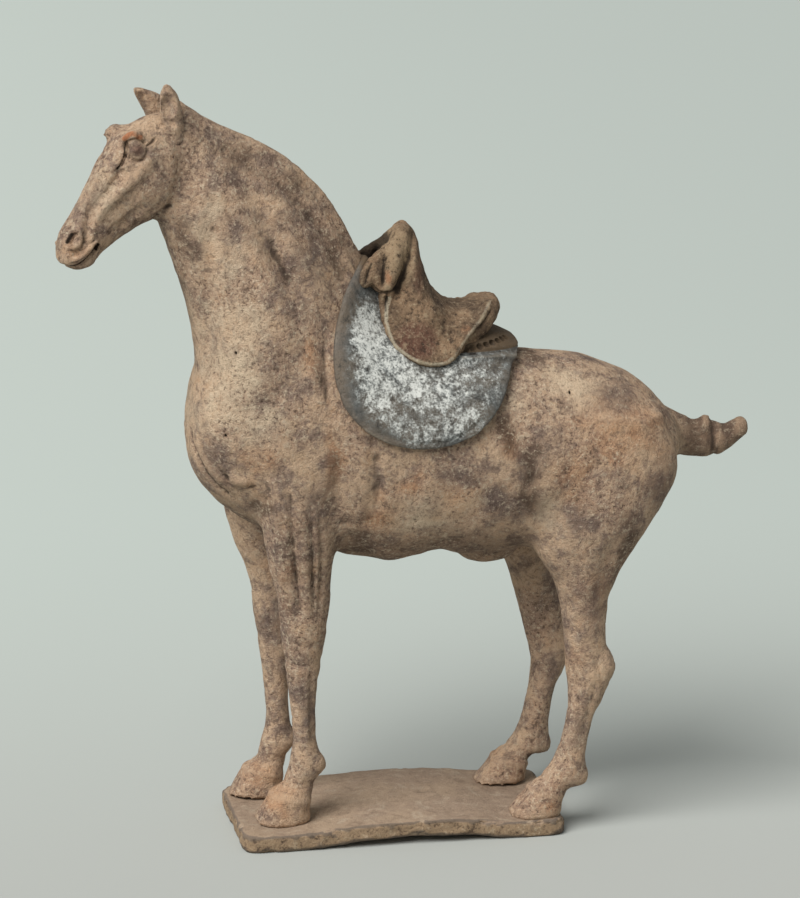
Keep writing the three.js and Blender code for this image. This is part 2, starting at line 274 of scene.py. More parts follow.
def plinth_mesh():
    """The solid slab with its edges worn round, chipped, and its faces a little uneven."""
    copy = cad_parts["plinth"].data.copy()
    shape = bmesh.new()
    shape.from_mesh(copy)
    bmesh.ops.remove_doubles(shape, verts=shape.verts, dist=1e-6)
    shape.to_mesh(copy)
    shape.free()
    slab = Clay(skinned(copy, SLAB_VOXEL))
    slab.smooth(6)
    slab.raise_by(0.5 * grain(slab.points, 24, 1) + 0.3 * grain(slab.points, 6, 2))
    edge = soft_step(-slab.hollow(14), 0.2, 0.9)
    bites = soft_step(grain(slab.points, 9, 7) + 0.5 * grain(slab.points, 4, 8), 0.25, 0.8)
    slab.raise_by(-1.8 * edge * bites)
    upright = soft_step(1 - np.abs(slab.normals[:, 2]), 0.3, 0.7)
    slab.raise_by(0.7 * upright * grain(slab.points * np.array([1, 1, 1.6]), 5, 9))
    slab.points[:, 2] = np.maximum(slab.points[:, 2], 0)
    slab.settle()
    # The hollow mask marks where the finish paints shade into the slab's hollows.
    slab.keep("hollow", soft_step(slab.hollow(8), 0.05, 0.6))
    slab.keep("edge", soft_step(-slab.hollow(12), 0.1, 0.8))
    slab.keep("side", upright)
    return slab.mesh


def plinth_finish():
    finish = Finish("plinth clay")
    patches = finish.lumps(45, 4, 0.6)
    smears = finish.lumps(14, 5, 0.65, 1.2)
    mottle = finish.lumps(5, 6, 0.75)
    grit = finish.lumps(1.8, 4, 0.75)
    side = finish.mask("side")
    colour = patches.step(0.35, 0.65).mix(rgb(166, 144, 122), rgb(150, 130, 112))
    colour = smears.step(0.52, 0.66, 0, 0.5).mix(colour, rgb(178, 162, 142))
    colour = smears.step(0.46, 0.34, 0, 0.45).mix(colour, rgb(122, 103, 86))
    colour = side.mix(colour, rgb(156, 132, 106))
    colour = (mottle.step(0.53, 0.68) * (side * 0.4 + 0.25)).mix(colour, rgb(198, 178, 152))
    colour = (mottle.step(0.48, 0.36) * (side * 0.65 + 0.2)).mix(colour, rgb(84, 68, 56))
    colour = (grit.step(0.46, 0.33) * (side * 0.4 + 0.3)).mix(colour, rgb(70, 56, 46))
    colour = (finish.mask("edge") * (mottle + 0.45)).step(0.3, 0.9, 0, 0.6).mix(colour, rgb(74, 70, 68))
    # Painted shade: the slab's hollows are darkened.
    colour = finish.mask("hollow").step(0.1, 1, 0, 0.7).mix(colour, rgb(64, 52, 43))
    return finish.close(colour, patches.step(0.3, 0.7, 0.88, 0.98), mottle * (side + 0.4) + grit * 0.6, 1.4)


plinth = shaded(placed("plinth_slab", plinth_mesh()), plinth_finish())
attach(plinth, "root")
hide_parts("plinth")


# Horse
# A hollow horse of pale reddish earthenware, pressed in moulds, luted together and dressed by hand.
# Here it is one lump: barrel, neck, head, legs and tail joined, smoothed at the joints and then carved.
HORSE_VOXEL = 2.6
EAR_VOXEL = 0.8
SLAB_TOP = 11.8
HOOF_SINK = 1.3  # the hooves go this far into the slip on the slab
GROUND = SLAB_TOP - HOOF_SINK
POLL_X = -143
HEAD_TURN = math.radians(17)
HEAD_LOW = 386  # the whole head lies above this height
EAR_APART = 13  # each ear stands this far from the middle of the head


def smooth_rows(rows, steps):
    """A smooth run through rows of numbers, with the same count of steps between each two."""
    rows = np.asarray(rows, float)
    ends = np.vstack([2 * rows[0] - rows[1], rows, 2 * rows[-1] - rows[-2]])
    place = np.linspace(0, len(rows) - 1, steps * (len(rows) - 1) + 1)
    span = np.minimum(place.astype(int), len(rows) - 2)
    u = (place - span)[:, None]
    a, b, c, d = (ends[span + k] for k in range(4))
    return 0.5 * (2 * b + (c - a) * u + (2 * a - 5 * b + 4 * c - d) * u**2 + (3 * b - a - 3 * c + d) * u**3)


def along(places, line, width):
    """A bump of height 1 along a smooth line through the given points, and how far along it each place is."""
    spans = np.linalg.norm(np.diff(np.asarray(line, float), axis=0), axis=1)
    track = smooth_rows(line, max(8, math.ceil(3.5 * spans.max() / width)))
    near = ((places > track.min(axis=0) - width) & (places < track.max(axis=0) + width)).all(axis=1)
    distance = np.full(len(places), np.inf)
    share = np.zeros(len(places))
    gaps = np.linalg.norm(places[near][:, None, :] - track[None, :, :], axis=2)
    distance[near] = gaps.min(axis=1)
    share[near] = gaps.argmin(axis=1) / (len(track) - 1)
    bump = np.clip(1 - (distance / width) ** 2, 0, 1) ** 2
    return bump, share


def spot(places, middle, radii, power=2):
    """A soft round spot of height 1."""
    distance = (((places - np.array(middle)) / np.array(radii)) ** 2).sum(axis=1)
    return np.clip(1 - distance, 0, 1) ** power


def row(first, second, half, y=0.0, square=2.0, taper=0.0):
    """A cross-section: two outline points seen from the side, half width, middle, squareness and taper."""
    return [*first, *second, half, y, square, taper]


def rings_to_skin(rings):
    """A closed skin over rings of equal length, each end closed by a fan."""
    count = rings.shape[1]
    points = np.vstack([rings.reshape(-1, 3), rings[0].mean(axis=0), rings[-1].mean(axis=0)])
    first, last = len(points) - 2, len(points) - 1
    after = np.roll(np.arange(count), -1)
    faces = []
    for r in range(len(rings) - 1):
        here, there = r * count, (r + 1) * count
        faces += [(here + s, here + after[s], there + after[s], there + s) for s in range(count)]
    end = (len(rings) - 1) * count
    faces += [(after[s], s, first) for s in range(count)]
    faces += [(end + s, end + after[s], last) for s in range(count)]
    return points, faces


def limb(rows, steps=8, sides=64, grow=0.0, cap_start=0.0, cap_end=0.0):
    """A smooth skin through its sections. Grow swells it, and a cap rounds an end off over its length."""
    tracks = smooth_rows(rows, steps)
    turn = np.linspace(0, 2 * np.pi, sides, endpoint=False)
    middles = (tracks[:, 0:2] + tracks[:, 2:4]) / 2

    def ring(track, shrink=1.0, slide=np.zeros(2)):
        first, second, half, y, square, taper = track[0:2], track[2:4], *track[4:8]
        middle = (first + second) / 2 + slide
        reach = (second - first) / 2
        reach = reach * (1 + grow / np.linalg.norm(reach)) * shrink
        lengthways = np.sign(np.cos(turn)) * np.abs(np.cos(turn)) ** (2 / square)
        across = np.sign(np.sin(turn)) * np.abs(np.sin(turn)) ** (2 / square)
        across = across * (1 - taper * lengthways) * (half + grow) * shrink
        x, z = (middle[axis] + reach[axis] * lengthways for axis in (0, 1))
        return np.stack([x, y + across, z], axis=1)

    def cap(track, way, length):
        way = way / np.linalg.norm(way)
        tilts = np.radians([15, 30, 45, 60, 72, 82])
        return [ring(track, math.cos(t), way * (length + grow) * math.sin(t)) for t in tilts]

    rings = [ring(track) for track in tracks]
    if cap_start:
        rings = cap(tracks[0], middles[0] - middles[1], cap_start)[::-1] + rings
    if cap_end:
        rings = rings + cap(tracks[-1], middles[-1] - middles[-2], cap_end)
    return rings_to_skin(np.array(rings))


def pebble(middle, radii, pitch=0.0, count=28):
    """A ball stretched to three radii and turned about Y, by degrees."""
    tilts = np.linspace(0.02, np.pi - 0.02, count)[:, None]
    turns = np.linspace(0, 2 * np.pi, 2 * count, endpoint=False)
    x = radii[0] * np.sin(tilts) * np.cos(turns)
    y = radii[1] * np.sin(tilts) * np.sin(turns)
    z = radii[2] * np.cos(tilts) * np.ones(len(turns))
    cos, sin = math.cos(math.radians(pitch)), math.sin(math.radians(pitch))
    turned = np.stack([x * cos + z * sin, y, z * cos - x * sin], axis=2)
    return rings_to_skin(turned + np.array(middle))


def joined(shells):
    """One mesh holding all the shells, in the frame's metres, with their faces turned outwards."""
    shape = bmesh.new()
    for points, faces in shells:
        corners = [shape.verts.new((p + SLAB_MIDDLE) * MM) for p in np.asarray(points)]
        made = [shape.faces.new([corners[i] for i in face]) for face in faces]
        bmesh.ops.recalc_face_normals(shape, faces=made)
    mesh = bpy.data.meshes.new("shells")
    shape.to_mesh(mesh)
    shape.free()
    return mesh


def cut(mesh, tool, operation):
    """Joins, cuts or keeps the overlap of two closed meshes."""
    body, cutter = placed("body", mesh), placed("cutter", tool)
    step = body.modifiers.new("cut", "BOOLEAN")
    step.solver = "MANIFOLD"
    step.operation = operation
    step.object = cutter
    mesh = baked(body)
    bpy.data.objects.remove(cutter)
    return mesh


def barrel(grow=0.0):
    """Deep, round-ribbed body from the chest to the rump."""
    rows = [
        row((-137, 263), (-137, 297), 16),
        row((-134, 252), (-133, 316), 30),
        row((-127, 240), (-125, 334), 40),
        row((-113, 226), (-111, 354), 48),
        row((-85, 206), (-83, 372), 55),
        row((-50, 193), (-46, 372), 59),
        row((-15, 186), (-12, 352), 62),
        row((25, 186), (25, 337), 63),
        row((60, 185), (60, 329), 62),
        row((95, 190), (95, 324), 61),
        row((130, 202), (130, 318.5), 59),
        row((160, 216), (160, 306.5), 52),
        row((177, 230), (177, 294), 43),
        row((188.5, 241), (188.5, 280), 31),
        row((195, 250), (195, 269), 16),
    ]
    return limb(rows, steps=8, sides=96, grow=grow, cap_start=1.5, cap_end=2)


def neck(grow=0.0):
    """Deep at the shoulder, arched, and thinner towards the crest."""
    rows = [
        row((-118, 262), (15, 332), 50, taper=0.2),
        row((-136, 286), (-6, 364), 51, taper=0.27),
        row((-132.5, 312), (-23, 392), 48, taper=0.32),
        row((-132, 338), (-41, 424), 42, taper=0.34),
        row((-137, 362), (-58, 446), 36, taper=0.34),
        row((-143, 383), (-79, 460), 31, taper=0.3),
        row((-149, 403), (-104, 473), 26.5, taper=0.25),
        row((-157, 424), (-131, 489), 22, taper=0.2),
    ]
    return limb(rows, steps=10, sides=96, grow=grow, cap_end=5)


CREST = [
    (-20, 391), (-31, 413), (-45, 436), (-69, 459.5), (-96, 475), (-120, 486), (-133.5, 494.5), (-141, 500.5),
]


def mane():
    """Hogged mane: a narrow rounded band standing along the crest."""
    heart = np.array([-112, 396])
    rows = []
    for place in np.array(CREST):
        inward = (heart - place) / np.linalg.norm(heart - place)
        rows.append(row(place + 14 * inward, place, 6.5, square=2.6))
    return limb(rows, steps=10, sides=40, cap_start=2, cap_end=5)


def from_head(points):
    """From the head's own upright plane, measured from the poll, to its place on the turned neck."""
    x, y, z = np.asarray(points, float).T
    cos, sin = math.cos(HEAD_TURN), math.sin(HEAD_TURN)
    return np.stack([x * cos - y * sin + POLL_X, x * sin + y * cos, z], axis=1)


def to_head(points):
    x, y, z = (points - np.array([POLL_X, 0, 0])).T
    cos, sin = math.cos(HEAD_TURN), math.sin(HEAD_TURN)
    return np.stack([x * cos + y * sin, y * cos - x * sin, z], axis=1)


def skull():
    rows = [
        row((28, 452), (2, 492), 18),
        row((6, 433), (-16, 492), 21, square=2.2),
        row((-10, 424), (-31, 486), 22, square=2.7),
        row((-22, 423), (-43, 477), 20.5, square=2.8),
        row((-34, 417), (-53, 464.5), 17, square=2.6),
        row((-45, 411), (-62, 450.5), 14.5, square=2.4),
        row((-55, 404.5), (-70.5, 436.5), 13.5, square=2.3),
        row((-63, 397), (-78, 424), 14, square=2.2),
        row((-72, 394.5), (-83, 414.5), 13),
        row((-79, 397.5), (-83.5, 406), 9),
    ]
    return limb(rows, steps=8, sides=72, cap_end=2)


def ear(side, rows, bowl):
    """A leaf of clay with a bowl pressed into it. Each row is a height, front, back and half width."""
    sections = [row((front, z), (back, z), half, y=side * EAR_APART) for z, front, back, half in rows]
    leaf = limb(sections, sides=56, cap_end=1.8)
    x, y, z, pitch = bowl
    hole = pebble((x, side * y, z), (7, 6.6, 10), pitch)
    leaf, hole = (joined([(from_head(points), faces)]) for points, faces in (leaf, hole))
    shell = Clay(skinned(cut(leaf, hole, "DIFFERENCE"), EAR_VOXEL))
    shell.smooth(2)
    return shell.mesh


NEAR_EAR = [
    (474, -13, 1, 6), (490, -16.4, -0.6, 7), (501, -16.8, -2.8, 6.2),
    (507, -16, -5.2, 4.6), (511.2, -14, -8.6, 2.4),
]
FAR_EAR = [
    (474, -9, 6, 6), (490, -15.5, 3, 7), (499.5, -20.4, -1, 6.4),
    (504.5, -23, -8.5, 4.6), (507.2, -23.6, -16, 2.4),
]
# The bowl of each ear: its middle and its pitch in degrees.
NEAR_BOWL = (-14.4, 20.5, 500, 4)
FAR_BOWL = (-23.4, 7, 497, 18)
EYE_X, EYE_Z = -35.7, 473.6
NEAR_BULGE, FAR_BULGE = 16.6, 14.8


def eye(side, bulge):
    """A bulging ball and the thick lid over it."""
    ball = pebble((EYE_X, side * bulge, EYE_Z), (6.3, 5.2, 5.8))
    lid = pebble((-38, side * (bulge - 2.2), 481), (7.8, 5, 3.8), -18)
    return [ball, lid]


# Across the slab: where each foot stands, and how far out the body carries the tops of a pair.
NEAR_FORE_FOOT, FAR_FORE_FOOT, FORE_TOP = -25, 35, 34
NEAR_HIND_FOOT, FAR_HIND_FOOT, HIND_TOP = -39, 33, 31
# How far the far legs stand ahead of the near ones: at the foot, added above, and from what height.
FAR_FORE = (-9, -8, 150)
FAR_HIND = (-10, -11, 95)


def ahead(height, at_foot, above, start):
    return at_foot + above * soft_step(height, start, start + 80)


def leg(rows, y, top_y, stance=(0, 0, 95)):
    """Stands on its foot and slopes across to its top, above the knee, where the body carries it."""
    rows = np.array(rows, float)
    height = rows[:, 1]
    slide = ahead(height, *stance)
    rows[:, 0] += slide
    rows[:, 2] += slide
    rows[:, 5] = y + (math.copysign(top_y, y) - y) * soft_step(height, 95, 265)
    return limb(rows, steps=10, sides=56)


FORE = [
    row((-96, 268), (-42, 262), 22),
    row((-94, 228), (-42, 218), 21),
    row((-88.5, 190), (-45, 190), 17),
    row((-82, 166), (-47, 166), 14.5),
    row((-80, 141), (-50, 139), 13.5),
    row((-77, 120), (-53, 118), 11.5),
    row((-74, 96), (-56, 95), 10),
    row((-72, 68), (-56, 67), 9.5),
    row((-76, 47), (-52, 50), 11.5),
    row((-81, 37), (-58, 36), 11),
    row((-89, 29), (-61, 26), 15, square=2.4),
    row((-100, GROUND), (-60, GROUND), 18, square=2.3),
]
HIND = [
    row((98, 292), (178, 286), 24),
    row((87, 248), (189, 248), 30),
    row((86, 219), (174.5, 217), 30),
    row((91, 194), (161, 196), 25),
    row((104, 173), (148.5, 177), 20),
    row((109, 151), (141, 157), 15.5),
    row((111, 125), (140, 130), 13),
    row((113, 106), (146, 112), 13),
    row((114, 92), (139, 94), 11.5),
    row((112, 74), (130, 74), 10),
    row((106, 52), (126, 53), 10),
    row((99, 41), (126, 33), 12),
    row((91, 34), (112, 26), 11.5),
    row((85, 27), (110, 22), 15, square=2.4),
    row((71, GROUND), (109, GROUND), 18, square=2.3),
]


def tail():
    """Bound short, with a knot about half way to its upturned end."""
    dock = [
        row((186, 248.5), (177, 288), 13),
        row((198, 247), (191, 280), 11.5),
        row((209, 245.5), (205, 272.5), 10.5),
        row((220.5, 245), (217, 269), 9.5),
        row((232.5, 250), (228, 267), 8.5),
        row((244, 258.5), (240, 271.5), 7),
    ]
    knot = pebble((216, 0, 267), (6.5, 8, 6.5), 20)
    return [limb(dock, sides=48, cap_end=4), knot]


def both_sides(clay, turned=0.0):
    """How squarely each point looks to either side, with the head's turn taken off."""
    x, y = clay.normals[:, 0], clay.normals[:, 1]
    return soft_step(np.abs(y * math.cos(turned) - x * math.sin(turned)), 0.1, 0.4)


def thumb_joints(horse):
    """The joints between limbs and body, thumbed smooth while the clay was soft."""
    crease = soft_step(horse.hollow(6), 0.12, 0.5)
    crease = np.clip(2.5 * horse.spread(crease, 12), 0, 1)
    place = to_head(horse.points)
    on_head = soft_step(-place[:, 0], 2, 12) * soft_step(horse.points[:, 2], 385, 395)
    horse.smooth(40, crease * (1 - 0.85 * on_head))


# Small holes on the near side, where the grains of the clay burned or fell out: along x, and up.
PITS = [(-111, 340), (-118.5, 285), (112.5, 304)]


def finer_skin(horse):
    """A finer skin for finer tools: the head, more so eyes, nostrils and mouth, the near foreleg, the pits."""
    place = to_head(horse.points)
    horse.split((place[:, 0] < 0) & (place[:, 2] > HEAD_LOW))
    horse.even_out(2, soft_step(-to_head(horse.points)[:, 0], -2, 4) * (horse.points[:, 2] > HEAD_LOW))
    side = to_head(horse.points)[:, [0, 2]]
    round_eye, cheek = ([(-22, 480), (-36, 474), (-46, 466)], 12), ([(-46, 458), (-66, 432)], 5)
    mouth = ([(-62, 411), (-80, 402)], 7)
    bands = [along(side, line, width)[0] for line, width in (round_eye, cheek, mouth)]
    bands.append(spot(side, (-78, 417), (9, 10)))
    horse.split(np.max(bands, axis=0) > 0.05)
    horse.even_out(2, soft_step(-to_head(horse.points)[:, 0], 2, 8) * (horse.points[:, 2] > HEAD_LOW))
    x, y, z = horse.points.T
    horse.split((x > -94) & (x < -50) & (y < 4) & (z > 62) & (z < 238))
    x, y, z = horse.points.T
    forearm = soft_step(-x, 46, 52) * soft_step(-y, -6, -2) * soft_step(z, 56, 66) * soft_step(-z, -244, -234)
    horse.even_out(3, forearm)
    for reach in (7, 4):
        marked = np.max([spot(horse.points[:, [0, 2]], mark, (reach, reach)) for mark in PITS], axis=0)
        horse.split((marked > 0) & (horse.points[:, 1] < -20))


# Lines on the side of the head, seen square on: along the head from the poll, and up from the ground.
EYE_SLIT = [(-42.2, 478.2), (-42, 474.5), (-42.3, 470.4), (-44.2, 465.4), (-47, 460.5)]
EYE_CORNER = [(-28.9, 475), (-25.5, 476.6), (-22, 479.3)]
UNDER_EYE = [(-41.8, 469.6), (-39, 466.6), (-35, 465.8), (-31, 467.6), (-28.8, 472.4)]
UNDER_LID = [(-42.2, 478.2), (-39.5, 479.9), (-35, 479.9), (-30.2, 477.3)]
CHEEK_GROOVE = [
    (-46.5, 458), (-52, 450.5), (-59.5, 442), (-65, 435), (-67.5, 428), (-68.8, 422), (-71.3, 416),
]
NOSTRIL = [(-80.6, 414.4), (-79, 417), (-77.2, 419.6)]
MOUTH = [(-62, 410.7), (-67, 406.2), (-71.5, 402), (-76.1, 399), (-82, 398)]
MOUTH_CORNER = [(-63, 411.2), (-61.5, 410.4)]
EAR_PIT = [(-14, -19.5, 490.5), (-11, -20, 488)]
JAW_BACK = [(-6.5, 476), (-6, 460), (-7.5, 446), (-12, 435), (-18, 428)]


def carve_head(horse):
    """Eyes, cheek bones, nostrils and lips, all cut and pinched into the soft clay."""
    def draw(line, width, height, fade=0.0, all_round=False, far=1.0):
        place = to_head(horse.points)
        front = soft_step(-place[:, 0], -4, 2) * soft_step(place[:, 2], HEAD_LOW, HEAD_LOW + 6)
        flat = soft_step(np.abs(place[:, 1]), 6, 10) * both_sides(horse, HEAD_TURN)
        within = front if all_round else front * flat * np.where(place[:, 1] > 0, far, 1)
        horse.stroke(place[:, [0, 2]], line, width, height, within, fade)

    # Cheek bone and the groove above it, which turns down behind the nostril.
    draw([(-26, 465), (-33, 459), (-41, 452), (-50, 443), (-57, 437), (-62, 430)], 6, 2.8, fade=0.6)
    draw(CHEEK_GROOVE, 4.6, -3.2)
    draw([(-71, 416), (-74, 411.5), (-78, 408.7)], 2.4, -1.3)
    draw([(-55, 462), (-62, 448), (-69, 434)], 7, -1.2, fade=0.8)
    draw([(-50, 474), (-60, 456), (-70, 437), (-77, 424)], 4, 0.9, fade=0.5)
    draw([(-30, 438), (-40, 428.5), (-52, 418.5)], 5, -1.7, fade=0.8)
    draw([(-22, 452), (-28, 444)], 12, 1.2)
    draw(JAW_BACK, 8, -1.8, fade=0.6)
    draw([(-12, 470), (-12, 456), (-15, 443)], 6, 0.8, fade=0.8)
    draw([(-13, 434), (-19.5, 427.5)], 4, -2.4)
    # Eye: a lid over the ball, a rim under it, and a slit at each end.
    draw(EYE_SLIT, 4.5, -0.4, far=0.45)
    draw(EYE_SLIT, 1.4, -2.8, fade=0.3, far=0.45)
    draw([(-45, 480.5), (-41.5, 484), (-35.5, 483.6), (-31, 479.6)], 2.4, 1.3, far=0.45)
    draw(UNDER_LID, 1.4, -1.6, far=0.45)
    draw(UNDER_EYE, 1.6, -1.4, far=0.45)
    draw([(-41, 464.6), (-36.5, 462.6), (-32, 463.4), (-27, 467)], 2.2, 0.6)
    draw(EYE_CORNER, 1.2, -1.6, fade=0.5)
    draw([(-26, 484), (-21, 478), (-17, 470)], 7, -1.2, fade=0.6)
    # Nostril, its rim, and the lips.
    draw([(-80.5, 411.2), (-76, 413), (-73.6, 417.5), (-74.2, 422)], 2.2, 1.5, far=0.7)
    draw(NOSTRIL, 2.7, -4.2, far=0.7)
    draw([(-63, 414), (-67.5, 411), (-72.5, 406.6), (-77, 403.8)], 2.6, 1.7)
    draw([(-64.5, 415.5), (-69, 412.4), (-74, 408.6), (-79, 406.4)], 1.3, -0.9)
    draw([(-70, 404.9), (-74, 402.6), (-79, 401.2)], 1.3, -0.8)
    draw(MOUTH, 1.8, -3.2, all_round=True)
    draw(MOUTH_CORNER, 2.8, -3.6)
    draw([(-65, 400), (-71, 396.5)], 4, 0.9)
    draw([(-57, 408), (-60, 402)], 3, -1.2)


# The lower edge of the mane, seen from the side.
MANE_EDGE = [(-33, 386), (-43, 405), (-54.5, 422), (-73.5, 441.5), (-95, 456), (-112, 470)]


def mould_body(horse):
    """Neck, shoulder, chest and belly, as they were pressed and wiped."""
    def draw(line, width, height, fade=0.0):
        horse.stroke(horse.points[:, [0, 2]], line, width, height, both_sides(horse), fade)

    # Neck: the mane, long soft grooves, and the windpipe.
    draw(MANE_EDGE, 6, -2.4, fade=0.4)
    draw([(-98, 436), (-87, 408), (-80.5, 396), (-71.5, 381), (-64, 370)], 13, -2.8, fade=0.8)
    draw([(-90, 412), (-86, 405), (-80.5, 396), (-71.5, 381.5), (-65, 373)], 6, -1.6, fade=1)
    draw([(-86, 440), (-74, 412), (-61, 388), (-52, 362)], 10, 2.0, fade=0.8)
    draw([(-66, 436), (-54, 412), (-44, 390), (-40, 372)], 10, -1.8, fade=0.6)
    draw([(-132, 482), (-122, 454), (-106, 430), (-94, 402), (-86, 372), (-78, 350)], 13, 2.6, fade=0.8)
    draw([(-112, 462), (-98, 448), (-86, 434)], 11, -1.8, fade=0.8)
    draw([(-124, 434), (-125, 402), (-126, 376), (-126.5, 350), (-124, 326)], 8, -3.2, fade=0.7)
    draw([(-136, 462), (-136, 446), (-137, 430)], 10, -2.4, fade=0.6)
    # Shoulder: upright folds before the cloth, and the blade.
    draw([(-50, 354), (-54, 334), (-54, 315), (-49, 296)], 4, -1.4, fade=0.6)
    draw([(-60, 352), (-62, 330), (-61, 303)], 6, 0.9, fade=0.8)
    draw([(-100, 300), (-88, 275), (-78, 255)], 16, 1.6, fade=0.8)
    draw([(-50, 285), (-46, 262), (-47, 240), (-48, 222)], 9, -1.8, fade=0.7)
    draw([(-25, 283), (-22, 262), (-21, 240), (-24, 222)], 7, -2.4, fade=0.6)
    draw([(66, 296), (77, 270), (83, 246), (82, 224)], 10, -2.8, fade=0.6)
    draw([(8, 268), (14, 246), (10, 226)], 12, 1.4, fade=0.7)
    # Breast: two skin folds and a round knob above each foreleg.
    for side in (-1, 1):
        def on_breast(line, width, height):
            horse.stroke(horse.points, [(x, side * y, z) for x, y, z in line], width, height)

        on_breast([(-136.5, 14, 282), (-134, 24, 266), (-126, 27, 252), (-116, 29, 243)], 3.6, -2.4)
        on_breast([(-131, 30, 280), (-124, 34, 266), (-116, 38, 254)], 3.6, -2.2)
        on_breast([(-134, 22, 278), (-129, 29, 266), (-121, 33, 254)], 4, 1.3)
        on_breast([(-111, 40, 254), (-107, 42, 253)], 7, 2.8)
        on_breast([(-117, 37, 250), (-110, 40, 244), (-100, 44.5, 249)], 3, -2.2)
        on_breast([(-86, 50, 252), (-84, 49, 240), (-81, 46, 226)], 5.5, 1.8)
    # Belly: an uneven underside.
    under = soft_step(-horse.normals[:, 2], 0.2, 0.7)
    x, y, z = horse.points.T
    low = under * soft_step(-z, -225, -205) * soft_step(-np.abs(y), -50, -20)
    horse.raise_by(low * (2.2 * np.exp(-((x + 8) / 14) ** 2) - 2.4 * np.exp(-((x - 32) / 13) ** 2) - 1.8))
    horse.raise_by(low * 1.2 * grain(horse.points, 15, 9))


def dress_legs(horse):
    """Tendons, knees, hocks, fetlocks and coronets."""
    x, y, z = horse.points.T
    fore = x < 0
    slide = np.where(fore, ahead(z, *FAR_FORE), ahead(z, *FAR_HIND)) * (y > 0)
    place = np.stack([x - slide, z], axis=1)

    def draw(line, width, height, fade=0.0, all_round=False):
        outer = soft_step(horse.normals[:, 1] * np.sign(y - np.where(fore, 5, 0)), -0.3, 0.3)
        horse.stroke(place, line, width, height, (1 if all_round else outer) * (z < 262), fade)

    # Forelegs
    draw([(-88, 236), (-83, 200), (-76, 163)], 5, 1.6, fade=0.6)
    draw([(-78, 246), (-74, 199), (-69, 159)], 3.6, -3.0, fade=0.6)
    draw([(-70, 236), (-66, 196), (-63, 160)], 4, 1.0, fade=0.6)
    draw([(-64, 236), (-61, 192), (-60, 158)], 2.6, -2.0, fade=0.7)
    draw([(-57, 230), (-55, 191), (-57, 155)], 2.8, -1.8, fade=0.7)
    draw([(-74, 146), (-64, 142), (-56, 144)], 7, 0.9, fade=0.3)
    draw([(-79, 126), (-66, 122), (-52, 124)], 5, -0.6, all_round=True)
    draw([(-61, 118), (-60.5, 95), (-60, 68)], 3.2, -1.4, fade=0.5)
    draw([(-54, 53), (-52, 48)], 5.5, 1.6, all_round=True)
    draw([(-84, 40), (-70, 38), (-56, 39)], 4, -0.9, all_round=True)
    draw([(-91, 31), (-78, 30), (-62, 26)], 3.2, 1.1, all_round=True)
    # Hind legs
    draw([(143, 212), (136, 188), (132, 164)], 8, -1.5, fade=0.7)
    draw([(120, 205), (122, 180), (121, 158)], 8, 1.2, fade=0.7)
    draw([(133, 124), (131.5, 116), (134, 108)], 4, -1.3, fade=0.6)
    draw([(139, 122), (141, 113)], 6, 1.4)
    draw([(130, 102), (125, 80), (120, 58)], 3, -1.7, fade=0.3)
    draw([(119, 98), (116, 78), (112, 58)], 4.5, 0.9, fade=0.5)
    draw([(125, 38), (124, 34)], 5, 1.3, all_round=True)
    draw([(92, 39), (102, 34), (116, 30)], 3.6, -1.0, all_round=True)
    draw([(84, 30), (96, 27.5), (110, 24)], 3.2, 1.1, all_round=True)


def tie_tail(horse):
    """The binding of the tail: a crease down each side, behind the knob on top."""
    place = horse.points[:, [0, 2]]
    on_tail = (horse.points[:, 0] > 196) * 1.0
    horse.stroke(place, [(221.5, 275), (219, 266), (219, 256), (221.5, 244)], 3, -1.6, on_tail)
    horse.stroke(place, [(224.5, 266), (224.5, 258), (226, 250)], 4.5, 0.9, on_tail)
    horse.stroke(place, [(205, 279), (206.5, 268), (208, 258)], 4, -0.5, on_tail)


# Stains, and some painted shade, from head to tail, seen from the side: place along x, height, and reach along
# and up.
VIOLET_STAINS = [
    (-196, 440, 8, 14), (-122, 268, 10, 18), (-104, 118, 8, 22), (-90, 442, 42, 30), (-88, 330, 10, 22),
    (-84, 426, 28, 24), (-82, 212, 10, 28), (-80, 150, 13, 26), (-78, 424, 24, 20), (-74, 208, 16, 30),
    (-68, 390, 16, 30), (-66, 90, 9, 26), (-63, 269, 13, 12), (-60, 402, 14, 22), (-58, 232, 14, 18),
    (-20, 260, 9, 10), (32, 252, 14, 10), (68, 234, 22, 18), (82, 264, 12, 14), (104, 130, 8, 24),
    (109, 194, 12, 14), (120, 78, 8, 24), (121, 155, 10, 22), (121, 221, 24, 18), (122, 170, 22, 34),
    (143, 300, 22, 12), (150, 322, 26, 7), (173, 243, 12, 24), (222, 262, 20, 14),
]
# Umber spots: dark stains, and in places painted shade, such as along the crest's shaded edge, behind the
# saddle cloth and on the tail.
UMBER_STAINS_AND_SHADE = [
    (-142, 396, 8, 34), (-137, 348, 7, 30), (-96, 236, 8, 12), (-92, 446, 26, 14), (-92, 465, 24, 8),
    (-70, 200, 5, 34), (-60, 448, 22, 9), (-57, 320, 5, 26), (-49, 246, 6, 28), (-40, 388, 8, 22),
    (-29, 205, 24, 14), (-22, 252, 3, 30), (-2, 196, 20, 10), (40, 205, 26, 10), (70, 283, 9, 14),
    (82, 250, 3.5, 26), (88, 238, 8, 16), (95, 330, 8, 24), (150, 190, 14, 30), (218, 262, 34, 24),
]
OCHRE_STAINS = [
    (-212, 408, 8, 10), (-109, 254, 7, 6), (-100, 270, 16, 12), (-84, 28, 18, 14), (-76, 180, 8, 20),
    (-62, 345, 5, 18), (-50, 268, 8, 24), (-13, 232, 12, 18), (0, 251, 13, 10), (30, 236, 16, 12),
    (73, 272, 9, 10), (92, 24, 20, 12), (116, 120, 12, 14), (122, 250, 28, 26), (126, 172, 18, 30),
    (148, 266, 40, 36),
]
